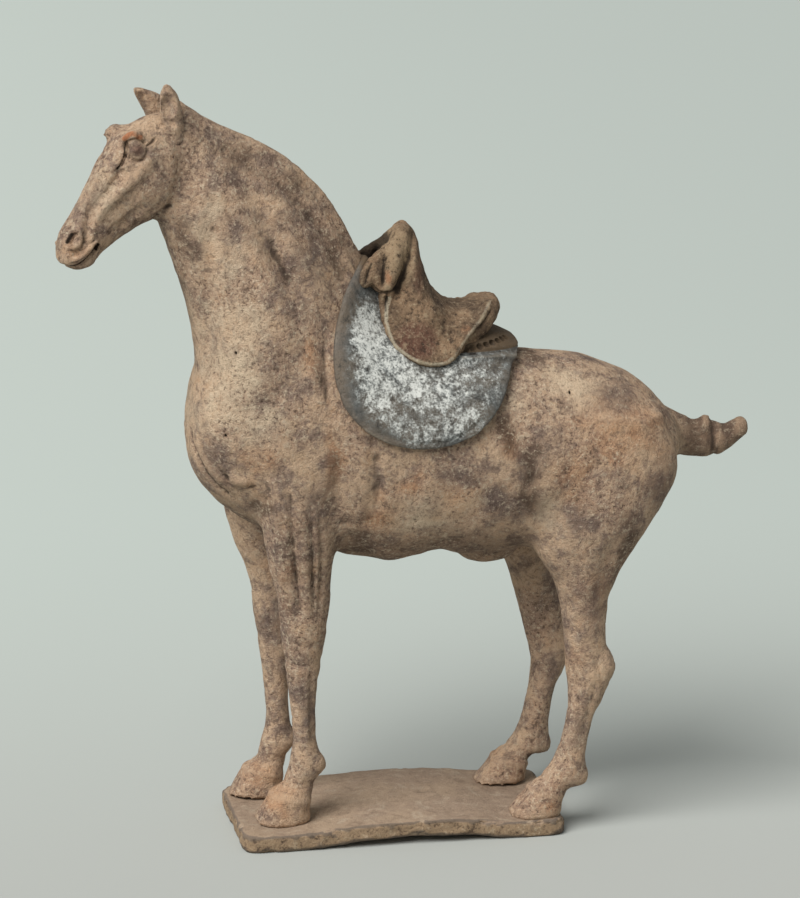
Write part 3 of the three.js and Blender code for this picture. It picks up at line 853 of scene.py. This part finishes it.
PALE_STAINS = [
    (-190, 440, 12, 20), (-128, 420, 10, 20), (-120, 294, 16, 22), (-114, 376, 24, 40),
    (-110, 322, 26, 30), (-104, 352, 18, 34), (-95, 296, 20, 18), (20, 228, 28, 16), (95, 233, 7, 18),
    (104, 306, 26, 12), (116, 116, 10, 12),
]


def stains(points, spots, ragged):
    """Cloudy patches on both flanks, with wandering edges: stains, and for some umber spots painted shade."""
    total = np.zeros(len(points))
    stray = np.stack([9 * grain(points, 15, seed) for seed in (33, 34)], axis=1)
    strayed = points[:, [0, 2]] + stray
    for x, z, reach_x, reach_z in spots:
        away = ((strayed - np.array((x, z))) / np.array((reach_x, reach_z))) ** 2
        total = np.maximum(total, np.exp(-0.7 * away.sum(axis=1)))
    return total * (0.75 + 0.75 * ragged)


def weather(horse):
    """Burial wore the skin uneven and stained it; the masks here are read by the finish, and some carry
    painted shade: under the belly, along the mane's edge, on the tail, in hollows and in the cut slits and
    holes.
    """
    points = horse.points
    side = points[:, [0, 2]]
    near = (points[:, 1] < -20) * 1.0
    holes = near * np.max([spot(side, mark, (0.9, 1.3), 1) for mark in PITS], axis=0)
    loss = soft_step(grain(points, 6, 11) + 0.5 * grain(points, 3.1, 12), 0.6, 0.85)
    dents = 0.45 * grain(points, 10, 3) + 0.55 * grain(points, 26, 4) + 0.25 * grain(points, 5.5, 13)
    horse.raise_by(dents - 0.5 * loss - 2 * holes)
    ragged = 0.6 * grain(points, 22, 21) + 0.4 * grain(points, 9, 22) + 0.3 * grain(points, 4, 23)
    # Painted shade: surfaces that face down under the belly are darkened.
    under = soft_step(-horse.normals[:, 2], 0.0, 0.9) * soft_step(points[:, 2], 150, 185)
    clouds = (
        ("violet", VIOLET_STAINS, 29), ("ochre", OCHRE_STAINS, 16), ("pale", PALE_STAINS, 11),
    )
    for name, spots, seed in clouds:
        horse.keep(name, stains(points, spots, ragged + 0.3 * grain(points, 40, seed)))
    # Painted shade: a dark line along the crease under the mane.
    under_mane = 0.9 * along(side, MANE_EDGE, 5)[0] * (0.8 + 0.5 * ragged)
    # Painted shade: the tail is darkened.
    on_tail = 0.95 * soft_step(points[:, 0], 188, 206)
    dark = [stains(points, UMBER_STAINS_AND_SHADE, ragged), 0.7 * under, under_mane, on_tail]
    horse.keep("umber_and_shade", np.max(dark, axis=0))
    # The hollow mask marks where the finish paints shade into the horse's hollows and creases.
    horse.keep("hollow", soft_step(horse.hollow(7), 0.08, 0.9))
    horse.keep("worn", soft_step(-horse.hollow(7), 0.08, 0.9))
    place = to_head(points)
    face = place[:, [0, 2]]
    # Painted shade: the cut slits of eye, nostril and mouth, the cheek groove, the ear pit, the ear bowls and
    # the small holes are painted near black.
    cuts = (
        (EYE_SLIT, 0.9, 1), (EYE_CORNER, 0.8, 0.7), (UNDER_LID, 0.9, 0.5), (NOSTRIL, 1.9, 1),
        (MOUTH, 1.0, 0.8), (MOUTH_CORNER, 2.2, 1), (CHEEK_GROOVE, 2, 0.35),
    )
    slits = [most * along(face, line, width)[0] for line, width, most in cuts]
    slits.append(0.9 * along(place, EAR_PIT, 3)[0])
    slit_shade = np.max(slits, axis=0) * (place[:, 0] < 2) * both_sides(horse, HEAD_TURN)
    slit_shade = slit_shade * np.where(place[:, 1] > 0, 0.3, 1)
    bowls = [spot(place, (-14.4, -17, 500), (6, 5, 9), 1), spot(place, (-20, 10, 497), (6, 5, 9), 1)]
    slit_shade = np.maximum(slit_shade, 0.55 * np.max(bowls, axis=0))
    horse.keep("slit_shade", np.maximum(slit_shade, 1.3 * holes))
    balls = [spot(place, (EYE_X, end * 20.5, EYE_Z), (6.4, 6, 6)) for end in (-1, 1)]
    horse.keep("eyeball", np.max(balls, axis=0))
    chip = 1.2 * along(place, [(-43.6, -17, 481.4), (-39, -17, 483.6), (-33, -18, 481)], 3.6)[0]
    chip = np.maximum(chip, 0.6 * spot(place, (-84, 0, 420), (4, 8, 5)))
    horse.keep("chip", np.maximum(chip, 0.6 * spot(place, (-11, -14, 508), (3, 6, 8))))


def horse_mesh():
    head = [skull(), *eye(-1, NEAR_BULGE), *eye(1, FAR_BULGE)]
    belly_lump = pebble((65, 0, 188), (23, 15, 11.5))
    shells = [barrel(), neck(), mane(), belly_lump, *tail()]
    shells += [(from_head(points), faces) for points, faces in head]
    shells += [leg(FORE, NEAR_FORE_FOOT, FORE_TOP), leg(FORE, FAR_FORE_FOOT, FORE_TOP, FAR_FORE)]
    shells += [leg(HIND, NEAR_HIND_FOOT, HIND_TOP), leg(HIND, FAR_HIND_FOOT, HIND_TOP, FAR_HIND)]
    horse = Clay(skinned(joined(shells), HORSE_VOXEL))
    horse.even_out(3)
    thumb_joints(horse)
    finer_skin(horse)
    carve_head(horse)
    mould_body(horse)
    dress_legs(horse)
    tie_tail(horse)
    for leaf in (ear(-1, NEAR_EAR, NEAR_BOWL), ear(1, FAR_EAR, FAR_BOWL)):
        horse = Clay(cut(horse.mesh, leaf, "UNION"))
    place = to_head(horse.points)
    roots = [spot(place, (-10, side * EAR_APART, 487), (13, 11, 7), 1) for side in (-1, 1)]
    horse.smooth(4, np.clip(2 * np.max(roots, axis=0), 0, 1))
    horse.stroke(to_head(horse.points), EAR_PIT, 4.2, -2.6)
    weather(horse)
    return horse.mesh


def horse_finish():
    finish = Finish("horse clay")
    patches = finish.lumps(55, 3, 0.6)
    blotches = finish.lumps(16, 6, 0.7)
    mottle = finish.lumps(5.5, 6, 0.75)
    grit = finish.lumps(2.6, 4, 0.75)
    dust = finish.lumps(1.1, 3, 0.7)
    crust = patches.step(0.4, 0.6, 0.5, 1.0)  # how thick the burial crust still lies
    colour = patches.step(0.36, 0.64).mix(rgb(199, 170, 142), rgb(175, 147, 125))
    colour = blotches.step(0.48, 0.63, 0, 0.72).mix(colour, rgb(120, 102, 94))
    colour = blotches.step(0.46, 0.3, 0, 0.6).mix(colour, rgb(198, 160, 126))
    clouds = finish.lumps(9, 5, 0.7, 0.9)
    colour = clouds.step(0.52, 0.62, 0, 0.6).mix(colour, rgb(112, 94, 84))
    colour = clouds.step(0.46, 0.34, 0, 0.5).mix(colour, rgb(210, 180, 148))
    # The umber layer is dark stains and painted shade; the other layers are stains.
    layers = (
        ("pale", rgb(216, 194, 166), 0.85), ("ochre", rgb(190, 142, 104), 0.7),
        ("violet", rgb(104, 88, 82), 0.85), ("umber_and_shade", rgb(86, 67, 54), 0.85),
    )
    for name, paint, most in layers:
        cloud = finish.mask(name) * (blotches * 0.8 + mottle * 1.0 + grit * 0.6 - 0.3)
        colour = cloud.step(0.15, 1.0, 0, most).mix(colour, paint)
    colour = (mottle.step(0.52, 0.66, 0, 0.6) * crust).mix(colour, rgb(208, 188, 162))
    colour = (mottle.step(0.47, 0.34, 0, 0.7) * crust).mix(colour, rgb(94, 76, 64))
    colour = (grit.step(0.47, 0.34, 0, 0.8) * crust).mix(colour, rgb(78, 62, 53))
    colour = (grit.step(0.53, 0.66, 0, 0.7) * crust).mix(colour, rgb(216, 198, 172))
    colour = (dust.step(0.44, 0.3, 0, 0.55) * crust).mix(colour, rgb(66, 53, 45))
    # Painted shade: hollows and creases are darkened.
    colour = finish.mask("hollow").step(0.1, 1, 0, 0.8).mix(colour, rgb(62, 50, 42))
    colour = finish.mask("worn").step(0.2, 1, 0, 0.4).mix(colour, rgb(196, 166, 138))
    colour = (finish.mask("eyeball") * 0.85).mix(colour, rgb(118, 88, 77))
    chip = finish.mask("chip") * (mottle * 1.6 + 0.1)
    colour = chip.step(0.3, 0.9, 0, 0.8).mix(colour, rgb(186, 118, 78))
    # Painted shade: the slits, bowls and holes are painted near black.
    colour = finish.mask("slit_shade").step(0.2, 0.8, 0, 0.95).mix(colour, rgb(36, 28, 23))
    height = dust * 0.4 + grit * 0.9 + mottle * 1.1
    return finish.close(colour, patches.step(0.3, 0.7, 0.86, 0.98), height, 2.2)


horse = shaded(placed("horse_body", horse_mesh()), horse_finish())
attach(horse, "root")
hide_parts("horse")


# Saddle cloth
# A thick crescent of clay laid over the back, once painted, now dark grey with a bloom of white.
# Its edge is rounded, and behind the saddle it stands up in a padded ridge with a row of small holes.
CLOTH_VOXEL = 1.3
CLOTH_THICK = 6.5
SEAT_SINK = 4.5  # the saddle is pressed this deep into the cloth
HOLE_COUNT = 8
HOLE_RADIUS = 2.6


def swollen_back(grow):
    """The back and neck swollen by the cloth, with the padded ridge behind the saddle."""
    ridge = [row((36, 296), (36, 348), 40), row((62, 296), (62, 345), 38), row((88, 296), (88, 333), 32)]
    pad = limb(ridge, steps=8, sides=64, grow=grow - CLOTH_THICK)
    return skinned(joined([barrel(grow), neck(grow), pad]), CLOTH_VOXEL)


def curve(start, *spans):
    """An outline through cubic bends, each given by two handles and an end."""
    points = [np.array(start, float)]
    for first, second, end in spans:
        u = np.linspace(0, 1, 25)[1:, None]
        corner = points[-1]
        bend = corner * (1 - u) ** 3 + 3 * np.array(first) * u * (1 - u) ** 2
        points += list(bend + 3 * np.array(second) * u**2 * (1 - u) + np.array(end) * u**3)
    return np.array(points)


def slab_of(outline, half_width):
    """A side-view outline pulled out across the whole figure."""
    x, z = np.asarray(outline).T
    sides = np.array([np.stack([x, np.full(len(x), y), z], axis=1) for y in (-half_width, half_width)])
    count = len(x)
    faces = [(s, (s + 1) % count, count + (s + 1) % count, count + s) for s in range(count)]
    return sides.reshape(-1, 3), faces + [tuple(range(count)), tuple(range(count, 2 * count))]


def row_of_pegs(line, count, radius):
    """Round pegs spaced along a line, one for each hole that was pricked into the strip."""
    tree = bpy.data.node_groups.new("row of pegs", "GeometryNodeTree")
    inlets = {}
    for name, kind in (("Line", "Geometry"), ("Count", "Int"), ("Radius", "Float")):
        inlet = tree.interface.new_socket(name, in_out="INPUT", socket_type="NodeSocket" + kind)
        inlets[name] = inlet.identifier
    tree.interface.new_socket("Pegs", in_out="OUTPUT", socket_type="NodeSocketGeometry")
    plain = Tone(tree)
    given = [plain.node("NodeGroupInput", out=index) for index in range(3)]
    path = plain.node("GeometryNodeMeshToCurve", None, {"Mesh": given[0]})
    places = plain.node("GeometryNodeResampleCurve", None, {"Curve": path, "Count": given[1]})
    peg = plain.node("GeometryNodeMeshIcoSphere", None, {"Radius": given[2], "Subdivisions": 3})
    pegs = plain.node("GeometryNodeInstanceOnPoints", None, {"Points": places, "Instance": peg})
    solid = plain.node("GeometryNodeRealizeInstances", None, {"Geometry": pegs})
    clay = {"Geometry": solid, "Material": bpy.data.materials["cloth clay"]}
    clad = plain.node("GeometryNodeSetMaterial", None, clay)
    plain.node("NodeGroupOutput", None, {0: clad})
    strip = bpy.data.meshes.new("strip")
    points = (np.array(line) + SLAB_MIDDLE) * MM
    strip.from_pydata(points.tolist(), [(i, i + 1) for i in range(len(points) - 1)], [])
    thing = placed("strip", strip)
    step = thing.modifiers.new("pegs", "NODES")
    step.node_group = tree
    step[inlets["Count"]] = count
    step[inlets["Radius"]] = radius * MM
    return baked(thing)


HOLES = [
    (43.5, -34.3, 333.6), (49, -33, 334.6), (55.4, -31.4, 334.8), (61.7, -28.4, 335.8), (68.1, -24, 336.4),
    (74, -17, 337),
]
CREASE = [(40, 331.4), (49.2, 331.6), (60.7, 331.5), (72, 331), (80, 330)]


def mirrored(line):
    return [(x, -y, z) for x, y, z in line]


def cloth_mesh():
    outline = curve(
        (-8, 397),
        ((-24, 394), (-37, 379), (-42, 360)),
        ((-46, 348), (-48, 338), (-48, 327)),
        ((-47, 293), (-16, 275), (12, 275)),
        ((44, 275), (62, 292), (73, 316)),
        ((77, 327), (86, 330), (86, 338)),
    )
    outline = np.vstack([outline, [(86, 400), (-8, 401)]])
    sheet = cut(swollen_back(CLOTH_THICK), joined([slab_of(outline, 90)]), "INTERSECT")
    sheet = cut(sheet, skinned(joined([barrel(-1), neck(-1)]), CLOTH_VOXEL), "DIFFERENCE")
    cloth = Clay(skinned(sheet, CLOTH_VOXEL))
    cloth.smooth(22)

    def draw(line, width, height, fade=0.0):
        cloth.stroke(cloth.points[:, [0, 2]], line, width, height, both_sides(cloth), fade)

    # The middle of the crescent is padded, and a thin lip runs round its foot.
    draw([(-34, 350), (-34, 325), (-22, 302), (10, 293), (40, 300), (56, 316)], 20, 1.8, fade=0.3)
    draw([(-40, 312), (-26, 292), (-7, 282), (12, 279), (30, 281), (50, 292)], 2.6, -1.0)
    draw([(-30, 290), (-7, 277), (12, 274.5), (30, 276.5), (48, 286)], 2.4, 0.7)
    draw(CREASE, 2.4, -1.7)
    draw([(41, 328.5), (50, 328.4), (61, 328.2), (72, 327.6), (79, 326.5)], 2.6, 1.1)
    seat = spot(cloth.points[:, [0, 2]], (20, 350), (28, 20), 1)
    cloth.raise_by(-SEAT_SINK * np.clip(2 * seat, 0, 1) * both_sides(cloth))
    scale = soft_step(grain(cloth.points, 5, 31) + 0.6 * grain(cloth.points, 2.6, 32), 0.45, 0.8)
    cloth.raise_by(0.3 * grain(cloth.points, 12, 5) - 0.45 * scale)
    for line in (HOLES, mirrored(HOLES)):
        cloth = Clay(cut(cloth.mesh, row_of_pegs(line, HOLE_COUNT, HOLE_RADIUS), "DIFFERENCE"))
    side = cloth.points[:, [0, 2]]
    band = [(-24, 352), (-15, 335), (-2, 321), (14, 312), (30, 312), (46, 319)]
    front = [(-20, 388), (-33, 374), (-41, 355), (-45.5, 330), (-42, 306), (-30, 289), (-10, 278.5)]
    back = [(62, 292), (72, 312), (80, 328)]
    lower = [(-24, 318), (-10, 298), (14, 288), (36, 296)]
    thinning = 1 - 0.4 * soft_step(side[:, 0], 14, 50)
    cloth.keep("bloom", np.maximum(along(side, band, 25)[0] * thinning, 0.7 * along(side, lower, 20)[0]))
    cloth.keep("bare", np.maximum(along(side, front, 12)[0], 0.8 * along(side, back, 9)[0]))
    strip = soft_step(side[:, 1], 330.5, 332.5) * soft_step(side[:, 0], 34, 40)
    cloth.keep("strip", np.maximum(strip, spot(side, (-12, 388), (16, 20), 1)))
    # The hollow mask marks where the finish paints shade into the cloth's hollows.
    cloth.keep("hollow", soft_step(cloth.hollow(10), 0.1, 1.0))
    cloth.keep("worn", soft_step(-cloth.hollow(10), 0.1, 1.0))
    return cloth.mesh


def cloth_finish():
    finish = Finish("cloth clay")
    patches = finish.lumps(26, 4, 0.6)
    scale = finish.lumps(5, 7, 0.78)
    grit = finish.lumps(1.6, 4, 0.75)
    colour = patches.step(0.35, 0.65).mix(rgb(90, 92, 91), rgb(108, 101, 92))
    colour = scale.step(0.5, 0.62, 0, 0.6).mix(colour, rgb(128, 132, 131))
    colour = scale.step(0.47, 0.34, 0, 0.8).mix(colour, rgb(54, 53, 51))
    bare = finish.mask("bare")
    colour = (bare * (scale * 1.6)).step(0.4, 1.0, 0, 0.6).mix(colour, rgb(112, 96, 80))
    veil = finish.lumps(15, 5, 0.65, 1.0)
    white = scale * 0.8 + grit * 0.6 + veil * 0.6 + finish.mask("bloom") * 0.22 - bare * 0.2
    colour = white.step(1.0, 1.24, 0, 0.55).mix(colour, rgb(188, 192, 189))
    colour = white.step(1.12, 1.3, 0, 0.92).mix(colour, rgb(226, 227, 222))
    colour = (finish.mask("strip") * (scale + 0.5)).step(0.3, 0.7, 0, 0.9).mix(colour, rgb(98, 80, 60))
    colour = grit.step(0.44, 0.3, 0, 0.7).mix(colour, rgb(48, 42, 36))
    # Painted shade: the cloth's hollows are darkened.
    colour = finish.mask("hollow").step(0.1, 0.9, 0, 0.9).mix(colour, rgb(40, 33, 27))
    colour = finish.mask("worn").step(0.25, 1, 0, 0.5).mix(colour, rgb(156, 146, 130))
    return finish.close(colour, patches.step(0.3, 0.7, 0.75, 0.92), scale * 0.8 + grit * 0.7, 1.3)


cloth_clay = cloth_finish()
cloth = shaded(placed("saddle_cloth_shell", cloth_mesh()), cloth_clay)
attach(cloth, "root")
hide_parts("saddle_cloth")


# Saddle
# A seat of clay between a tall pommel and a low cantle, its two flaps hanging over the cloth.
# It was modelled by hand and pressed down on the cloth, and its rim is rolled.
SADDLE_VOXEL = 1.1


def roll(path):
    """A roll of clay along a path of x, y, z and radius."""
    path = np.array(path, float)
    way = np.gradient(path[:, [0, 2]], axis=0)
    aside = np.stack([way[:, 1], -way[:, 0]], axis=1) / np.linalg.norm(way, axis=1)[:, None]
    rows = []
    for (x, y, z, radius), out in zip(path, aside):
        middle = np.array([x, z])
        rows.append(row(middle - radius * out, middle + radius * out, radius, y=y))
    return limb(rows, sides=40, cap_start=path[0, 3], cap_end=path[-1, 3])


SEAT_RIM = [
    (-6, 369), (-8.5, 360.4), (-8.7, 352), (-4.9, 340.2), (4, 333), (13.7, 328.8), (25, 327.4), (33, 330),
]
CANTLE_RIM = [(35, 332), (40.6, 338.5), (46.9, 345.5), (54.9, 353), (61.6, 360), (66, 364)]
ARM_GROOVE = [(13, 408), (10.5, 399), (7, 390), (3.5, 381), (0, 372)]
FOOT_CRACKS = [
    [(-17, 391), (-20, 386), (-22.5, 379)],
    [(-8, 396), (-10, 387), (-11.5, 377)],
    [(-17.6, 376.5), (-13.7, 372), (-8, 372.7), (-1.5, 375)],
    [(-7.7, 373), (-8.4, 367), (-9, 360.5)],
]


def seat_shell():
    """The seat as one skin, from the pommel's front to the back of the cantle, with flaps and underside."""
    ridge = [
        (-8, 392), (1, 407), (9, 413.5), (15.6, 408), (18.4, 394),
        (24.5, 374), (38, 361), (56, 360.8), (69, 363.4), (73.5, 356),
    ]
    edge = [
        (-13, 23, 366), (-12, 26, 359), (-10, 30, 351), (-7, 36, 343), (-1, 43, 336), (9, 47, 331),
        (23, 46, 328), (36, 40, 332), (47, 32, 340), (49, 30, 335),
    ]
    wall, drop, undercut = 16, 34, 9
    tops, feet = smooth_rows(ridge, 10), smooth_rows(edge, 10)
    share = np.linspace(-1, 1, 61)
    round_over, sink = np.sin(share * np.pi / 2), 1 - np.cos(share * np.pi / 2)
    rings = []
    for i, (top, foot) in enumerate(zip(tops, feet)):
        t = i / (len(tops) - 1)
        peak = 0.5 * (1 - soft_step(t, 0.3, 0.6))
        tuck = undercut * soft_step(t, 0.7, 1)
        across = round_over * (1 - peak) + share * peak
        x = top[0] + (foot[0] - top[0]) * sink
        z = top[1] + (foot[2] - top[1]) * sink
        upper = np.stack([x, foot[1] * across, z], axis=1)
        under = np.stack([x - tuck, (foot[1] - wall) * across, z - drop], axis=1)
        rings.append(np.vstack([upper, under[::-1]]))
    return rings_to_skin(np.array(rings))


def saddle_mesh():
    shells = [seat_shell()]
    for side in (-1, 1):
        arm = [(7, 3, 406.5, 7), (3, 11, 400, 7.5), (-1, 17, 392, 7.5), (-4.5, 20.5, 383, 7)]
        arm.append((-7, 23.5, 374, 6))
        foot = [(-4, 10, 399, 4), (-12, 15, 392, 5), (-18, 20, 386, 5.6), (-21.5, 23, 380, 5)]
        plate = [(-6, 14, 394, 5), (-10.5, 18.5, 387, 5.5), (-12.5, 21.5, 381, 5.5), (-13, 23, 376, 4)]
        shells += [roll([(x, side * y, z, r) for x, y, z, r in path]) for path in (arm, foot, plate)]
    seat = skinned(joined(shells), SADDLE_VOXEL)
    seat = cut(seat, joined([pebble((-17, 0, 381), (15, 12.5, 22), 28)]), "DIFFERENCE")
    seat = cut(seat, swollen_back(CLOTH_THICK - SEAT_SINK), "DIFFERENCE")
    saddle = Clay(skinned(seat, SADDLE_VOXEL))
    saddle.smooth(7)

    def draw(line, width, height, fade=0.0):
        saddle.stroke(saddle.points[:, [0, 2]], line, width, height, both_sides(saddle), fade)

    # The seat is scooped out between its rolled rim, the pommel's arms and the cantle.
    draw([(7, 374), (8, 360), (14, 349), (25, 345), (36, 347)], 16, -4.2, fade=0.3)
    draw([(2, 352), (6, 344), (14, 339), (24, 337)], 9, -2.2, fade=0.3)
    uneven = 0.7 + 0.6 * grain(saddle.points, 7, 44)
    draw(SEAT_RIM, 2.9, 2.4 * uneven)
    draw(CANTLE_RIM, 3.6, 2.3 * uneven)
    draw([(41, 335.5), (48, 342.5), (56, 349.5), (63, 356.5)], 1.8, -1.2)
    draw([(9, 413), (3, 403.7), (-0.5, 395.7), (-4, 385.3), (-7, 376)], 6, 1.6)
    draw(ARM_GROOVE, 4, -3.0, fade=0.4)
    for crack in FOOT_CRACKS:
        draw(crack, 2.4, -2.0, fade=0.5)
    bark = grain(saddle.points * np.array([1.6, 1.6, 0.5]), 4, 41)
    loss = soft_step(grain(saddle.points, 5, 42) + 0.5 * grain(saddle.points, 2.6, 43), 0.5, 0.85)
    saddle.raise_by(0.3 * grain(saddle.points, 8, 6) + 0.45 * bark - 0.5 * loss)
    side = saddle.points[:, [0, 2]]
    rims = [along(side, SEAT_RIM, 2.6)[0], 0.7 * along(side, CANTLE_RIM, 2.6)[0]]
    cracks = [0.7 * along(side, crack, 1.8)[0] for crack in FOOT_CRACKS]
    cracks.append(0.6 * along(side, ARM_GROOVE, 2.2)[0])
    flat = both_sides(saddle)
    # Pale clay and a painted highlight along the rolled rims.
    saddle.keep("rim_pale_and_highlight", np.max(rims, axis=0) * flat)
    # Painted shade: the cracks in the pommel's feet and the arm's groove are painted near black.
    saddle.keep("slit_shade", np.max(cracks, axis=0) * flat)
    # The red mask is a reddish tone of the clay and painted shade on the seat's shaded side.
    saddle.keep("red", spot(side, (10, 342), (20, 17), 1) + 0.6 * spot(side, (14, 385), (8, 26), 1))
    chips = spot(side, (29, 328), (6, 4), 1) + spot(side, (-7, 383), (4, 9), 1)
    saddle.keep("chip", chips + 0.8 * spot(side, (44, 347), (9, 6), 1))
    # Painted shade: the inner faces of the pommel's arch are painted dark.
    inside = spot(saddle.points, (-10, 6, 394), (18, 15, 16), 1) * (side[:, 0] < 2)
    saddle.keep("arch_shade", np.clip(2.5 * inside, 0, 1) * (saddle.points[:, 1] > -12))
    saddle.keep("pale", spot(side, (2, 395), (17, 26), 1))
    # The hollow mask marks where the finish paints shade into the saddle's hollows.
    saddle.keep("hollow", soft_step(saddle.hollow(10), 0.1, 1.0))
    saddle.keep("worn", soft_step(-saddle.hollow(10), 0.1, 1.0))
    return saddle.mesh


def saddle_finish():
    finish = Finish("saddle clay")
    patches = finish.lumps(22, 4, 0.6)
    mottle = finish.lumps(5, 6, 0.75)
    grit = finish.lumps(1.7, 4, 0.75)
    colour = patches.step(0.35, 0.65).mix(rgb(150, 123, 97), rgb(102, 84, 68))
    red, pale = finish.mask("red") * (mottle + 0.5), finish.mask("pale") * (patches + 0.5)
    # Red: reddish clay and painted shade in the scooped seat.
    colour = red.step(0.25, 0.8, 0, 0.8).mix(colour, rgb(106, 72, 60))
    colour = pale.step(0.3, 0.9, 0, 0.75).mix(colour, rgb(172, 148, 118))
    colour = mottle.step(0.52, 0.66, 0, 0.65).mix(colour, rgb(172, 152, 124))
    colour = mottle.step(0.48, 0.35, 0, 0.85).mix(colour, rgb(64, 51, 42))
    # The rim mask gives pale clay and a painted highlight on the rims.
    chip, rim_pale_and_highlight = finish.mask("chip") * (mottle * 1.4 + 0.2), finish.mask("rim_pale_and_highlight") * (mottle * 1.5 + 0.1)
    colour = chip.step(0.5, 0.95, 0, 0.65).mix(colour, rgb(180, 130, 96))
    colour = rim_pale_and_highlight.step(0.3, 0.8, 0, 0.75).mix(colour, rgb(198, 188, 166))
    colour = grit.step(0.46, 0.32, 0, 0.75).mix(colour, rgb(58, 47, 39))
    colour = grit.step(0.55, 0.68, 0, 0.55).mix(colour, rgb(190, 172, 144))
    # Painted shade: the saddle's hollows are darkened.
    colour = finish.mask("hollow").step(0.1, 0.9, 0, 0.9).mix(colour, rgb(44, 35, 28))
    colour = finish.mask("worn").step(0.25, 1, 0, 0.5).mix(colour, rgb(172, 154, 126))
    # Painted shade inside the pommel's arch.
    colour = (finish.mask("arch_shade") * 0.85).mix(colour, rgb(40, 33, 27))
    # Painted shade in the cracks and the arm's groove.
    colour = finish.mask("slit_shade").step(0.25, 0.85, 0, 0.95).mix(colour, rgb(28, 22, 18))
    return finish.close(colour, patches.step(0.3, 0.7, 0.8, 0.95), mottle * 1.2 + grit * 0.8, 2.2)


saddle = shaded(placed("saddle_seat", saddle_mesh()), saddle_finish())
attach(saddle, "root")
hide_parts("saddle")


# Floor, light and camera
# A plain pale floor that runs on behind the figure, a large soft light from the front left,
# and the camera at the height and angle of the photograph.
FLOOR_RADIUS = 14.0
IMAGE_LONG_SIDE = 898
FOCAL_PIXELS = 4348
CAMERA_DISTANCE = 2.9
CAMERA_TURN = math.radians(-10.5)
CAMERA_RISE = math.radians(14)
CAMERA_AIM = (np.array([4, -10, 262]) + SLAB_MIDDLE) * MM
LIGHT_WAY = Vector((1.4, 1.1, -1.9))


def floor_mesh():
    shape = bmesh.new()
    bmesh.ops.create_circle(shape, cap_ends=True, segments=96, radius=FLOOR_RADIUS)
    mesh = bpy.data.meshes.new("floor")
    shape.to_mesh(mesh)
    shape.free()
    return mesh


def floor_finish():
    finish = Finish("floor paper")
    tone = finish.lumps(900, 1, 0.4)
    across = finish.plain.node("ShaderNodeSeparateXYZ", None, {"Vector": finish.place}, out="X")
    away = finish.plain.node("ShaderNodeSeparateXYZ", None, {"Vector": finish.place}, out="Y")
    # Painted shade: the floor darkens towards the right.
    colour = across.step(-1.1, 1.3).mix(rgb(188, 197, 192), rgb(172, 180, 176))
    # The floor turns a little greyer towards the front.
    colour = away.step(0.9, -0.5).mix(colour, rgb(172, 174, 171))
    return finish.close(colour, tone.step(0.3, 0.7, 0.9, 0.95), tone, 0.0)


floor = shaded(placed("floor", floor_mesh()), floor_finish())

world = bpy.data.worlds.new("studio")
bpy.context.scene.world = world
world.use_nodes = True
world.node_tree.nodes["Background"].inputs["Color"].default_value = rgb(236, 240, 238)
world.node_tree.nodes["Background"].inputs["Strength"].default_value = 0.4

lamp = bpy.data.lights.new("window", "SUN")
lamp.energy = 3.7
lamp.angle = math.radians(44)
lamp.color = (1.0, 0.98, 0.95)
window = placed("window", lamp)
window.rotation_euler = LIGHT_WAY.to_track_quat("-Z", "Y").to_euler()

eye_of_camera = bpy.data.cameras.new("camera")
eye_of_camera.sensor_width = 36
eye_of_camera.lens = eye_of_camera.sensor_width * FOCAL_PIXELS / IMAGE_LONG_SIDE
camera = placed("camera", eye_of_camera)
back = Vector((
    math.sin(CAMERA_TURN) * math.cos(CAMERA_RISE),
    -math.cos(CAMERA_TURN) * math.cos(CAMERA_RISE),
    math.sin(CAMERA_RISE),
))
camera.location = Vector(CAMERA_AIM) + CAMERA_DISTANCE * back
camera.rotation_euler = back.to_track_quat("Z", "Y").to_euler()
bpy.context.scene.camera = camera
bpy.context.scene.view_settings.view_transform = "Standard"
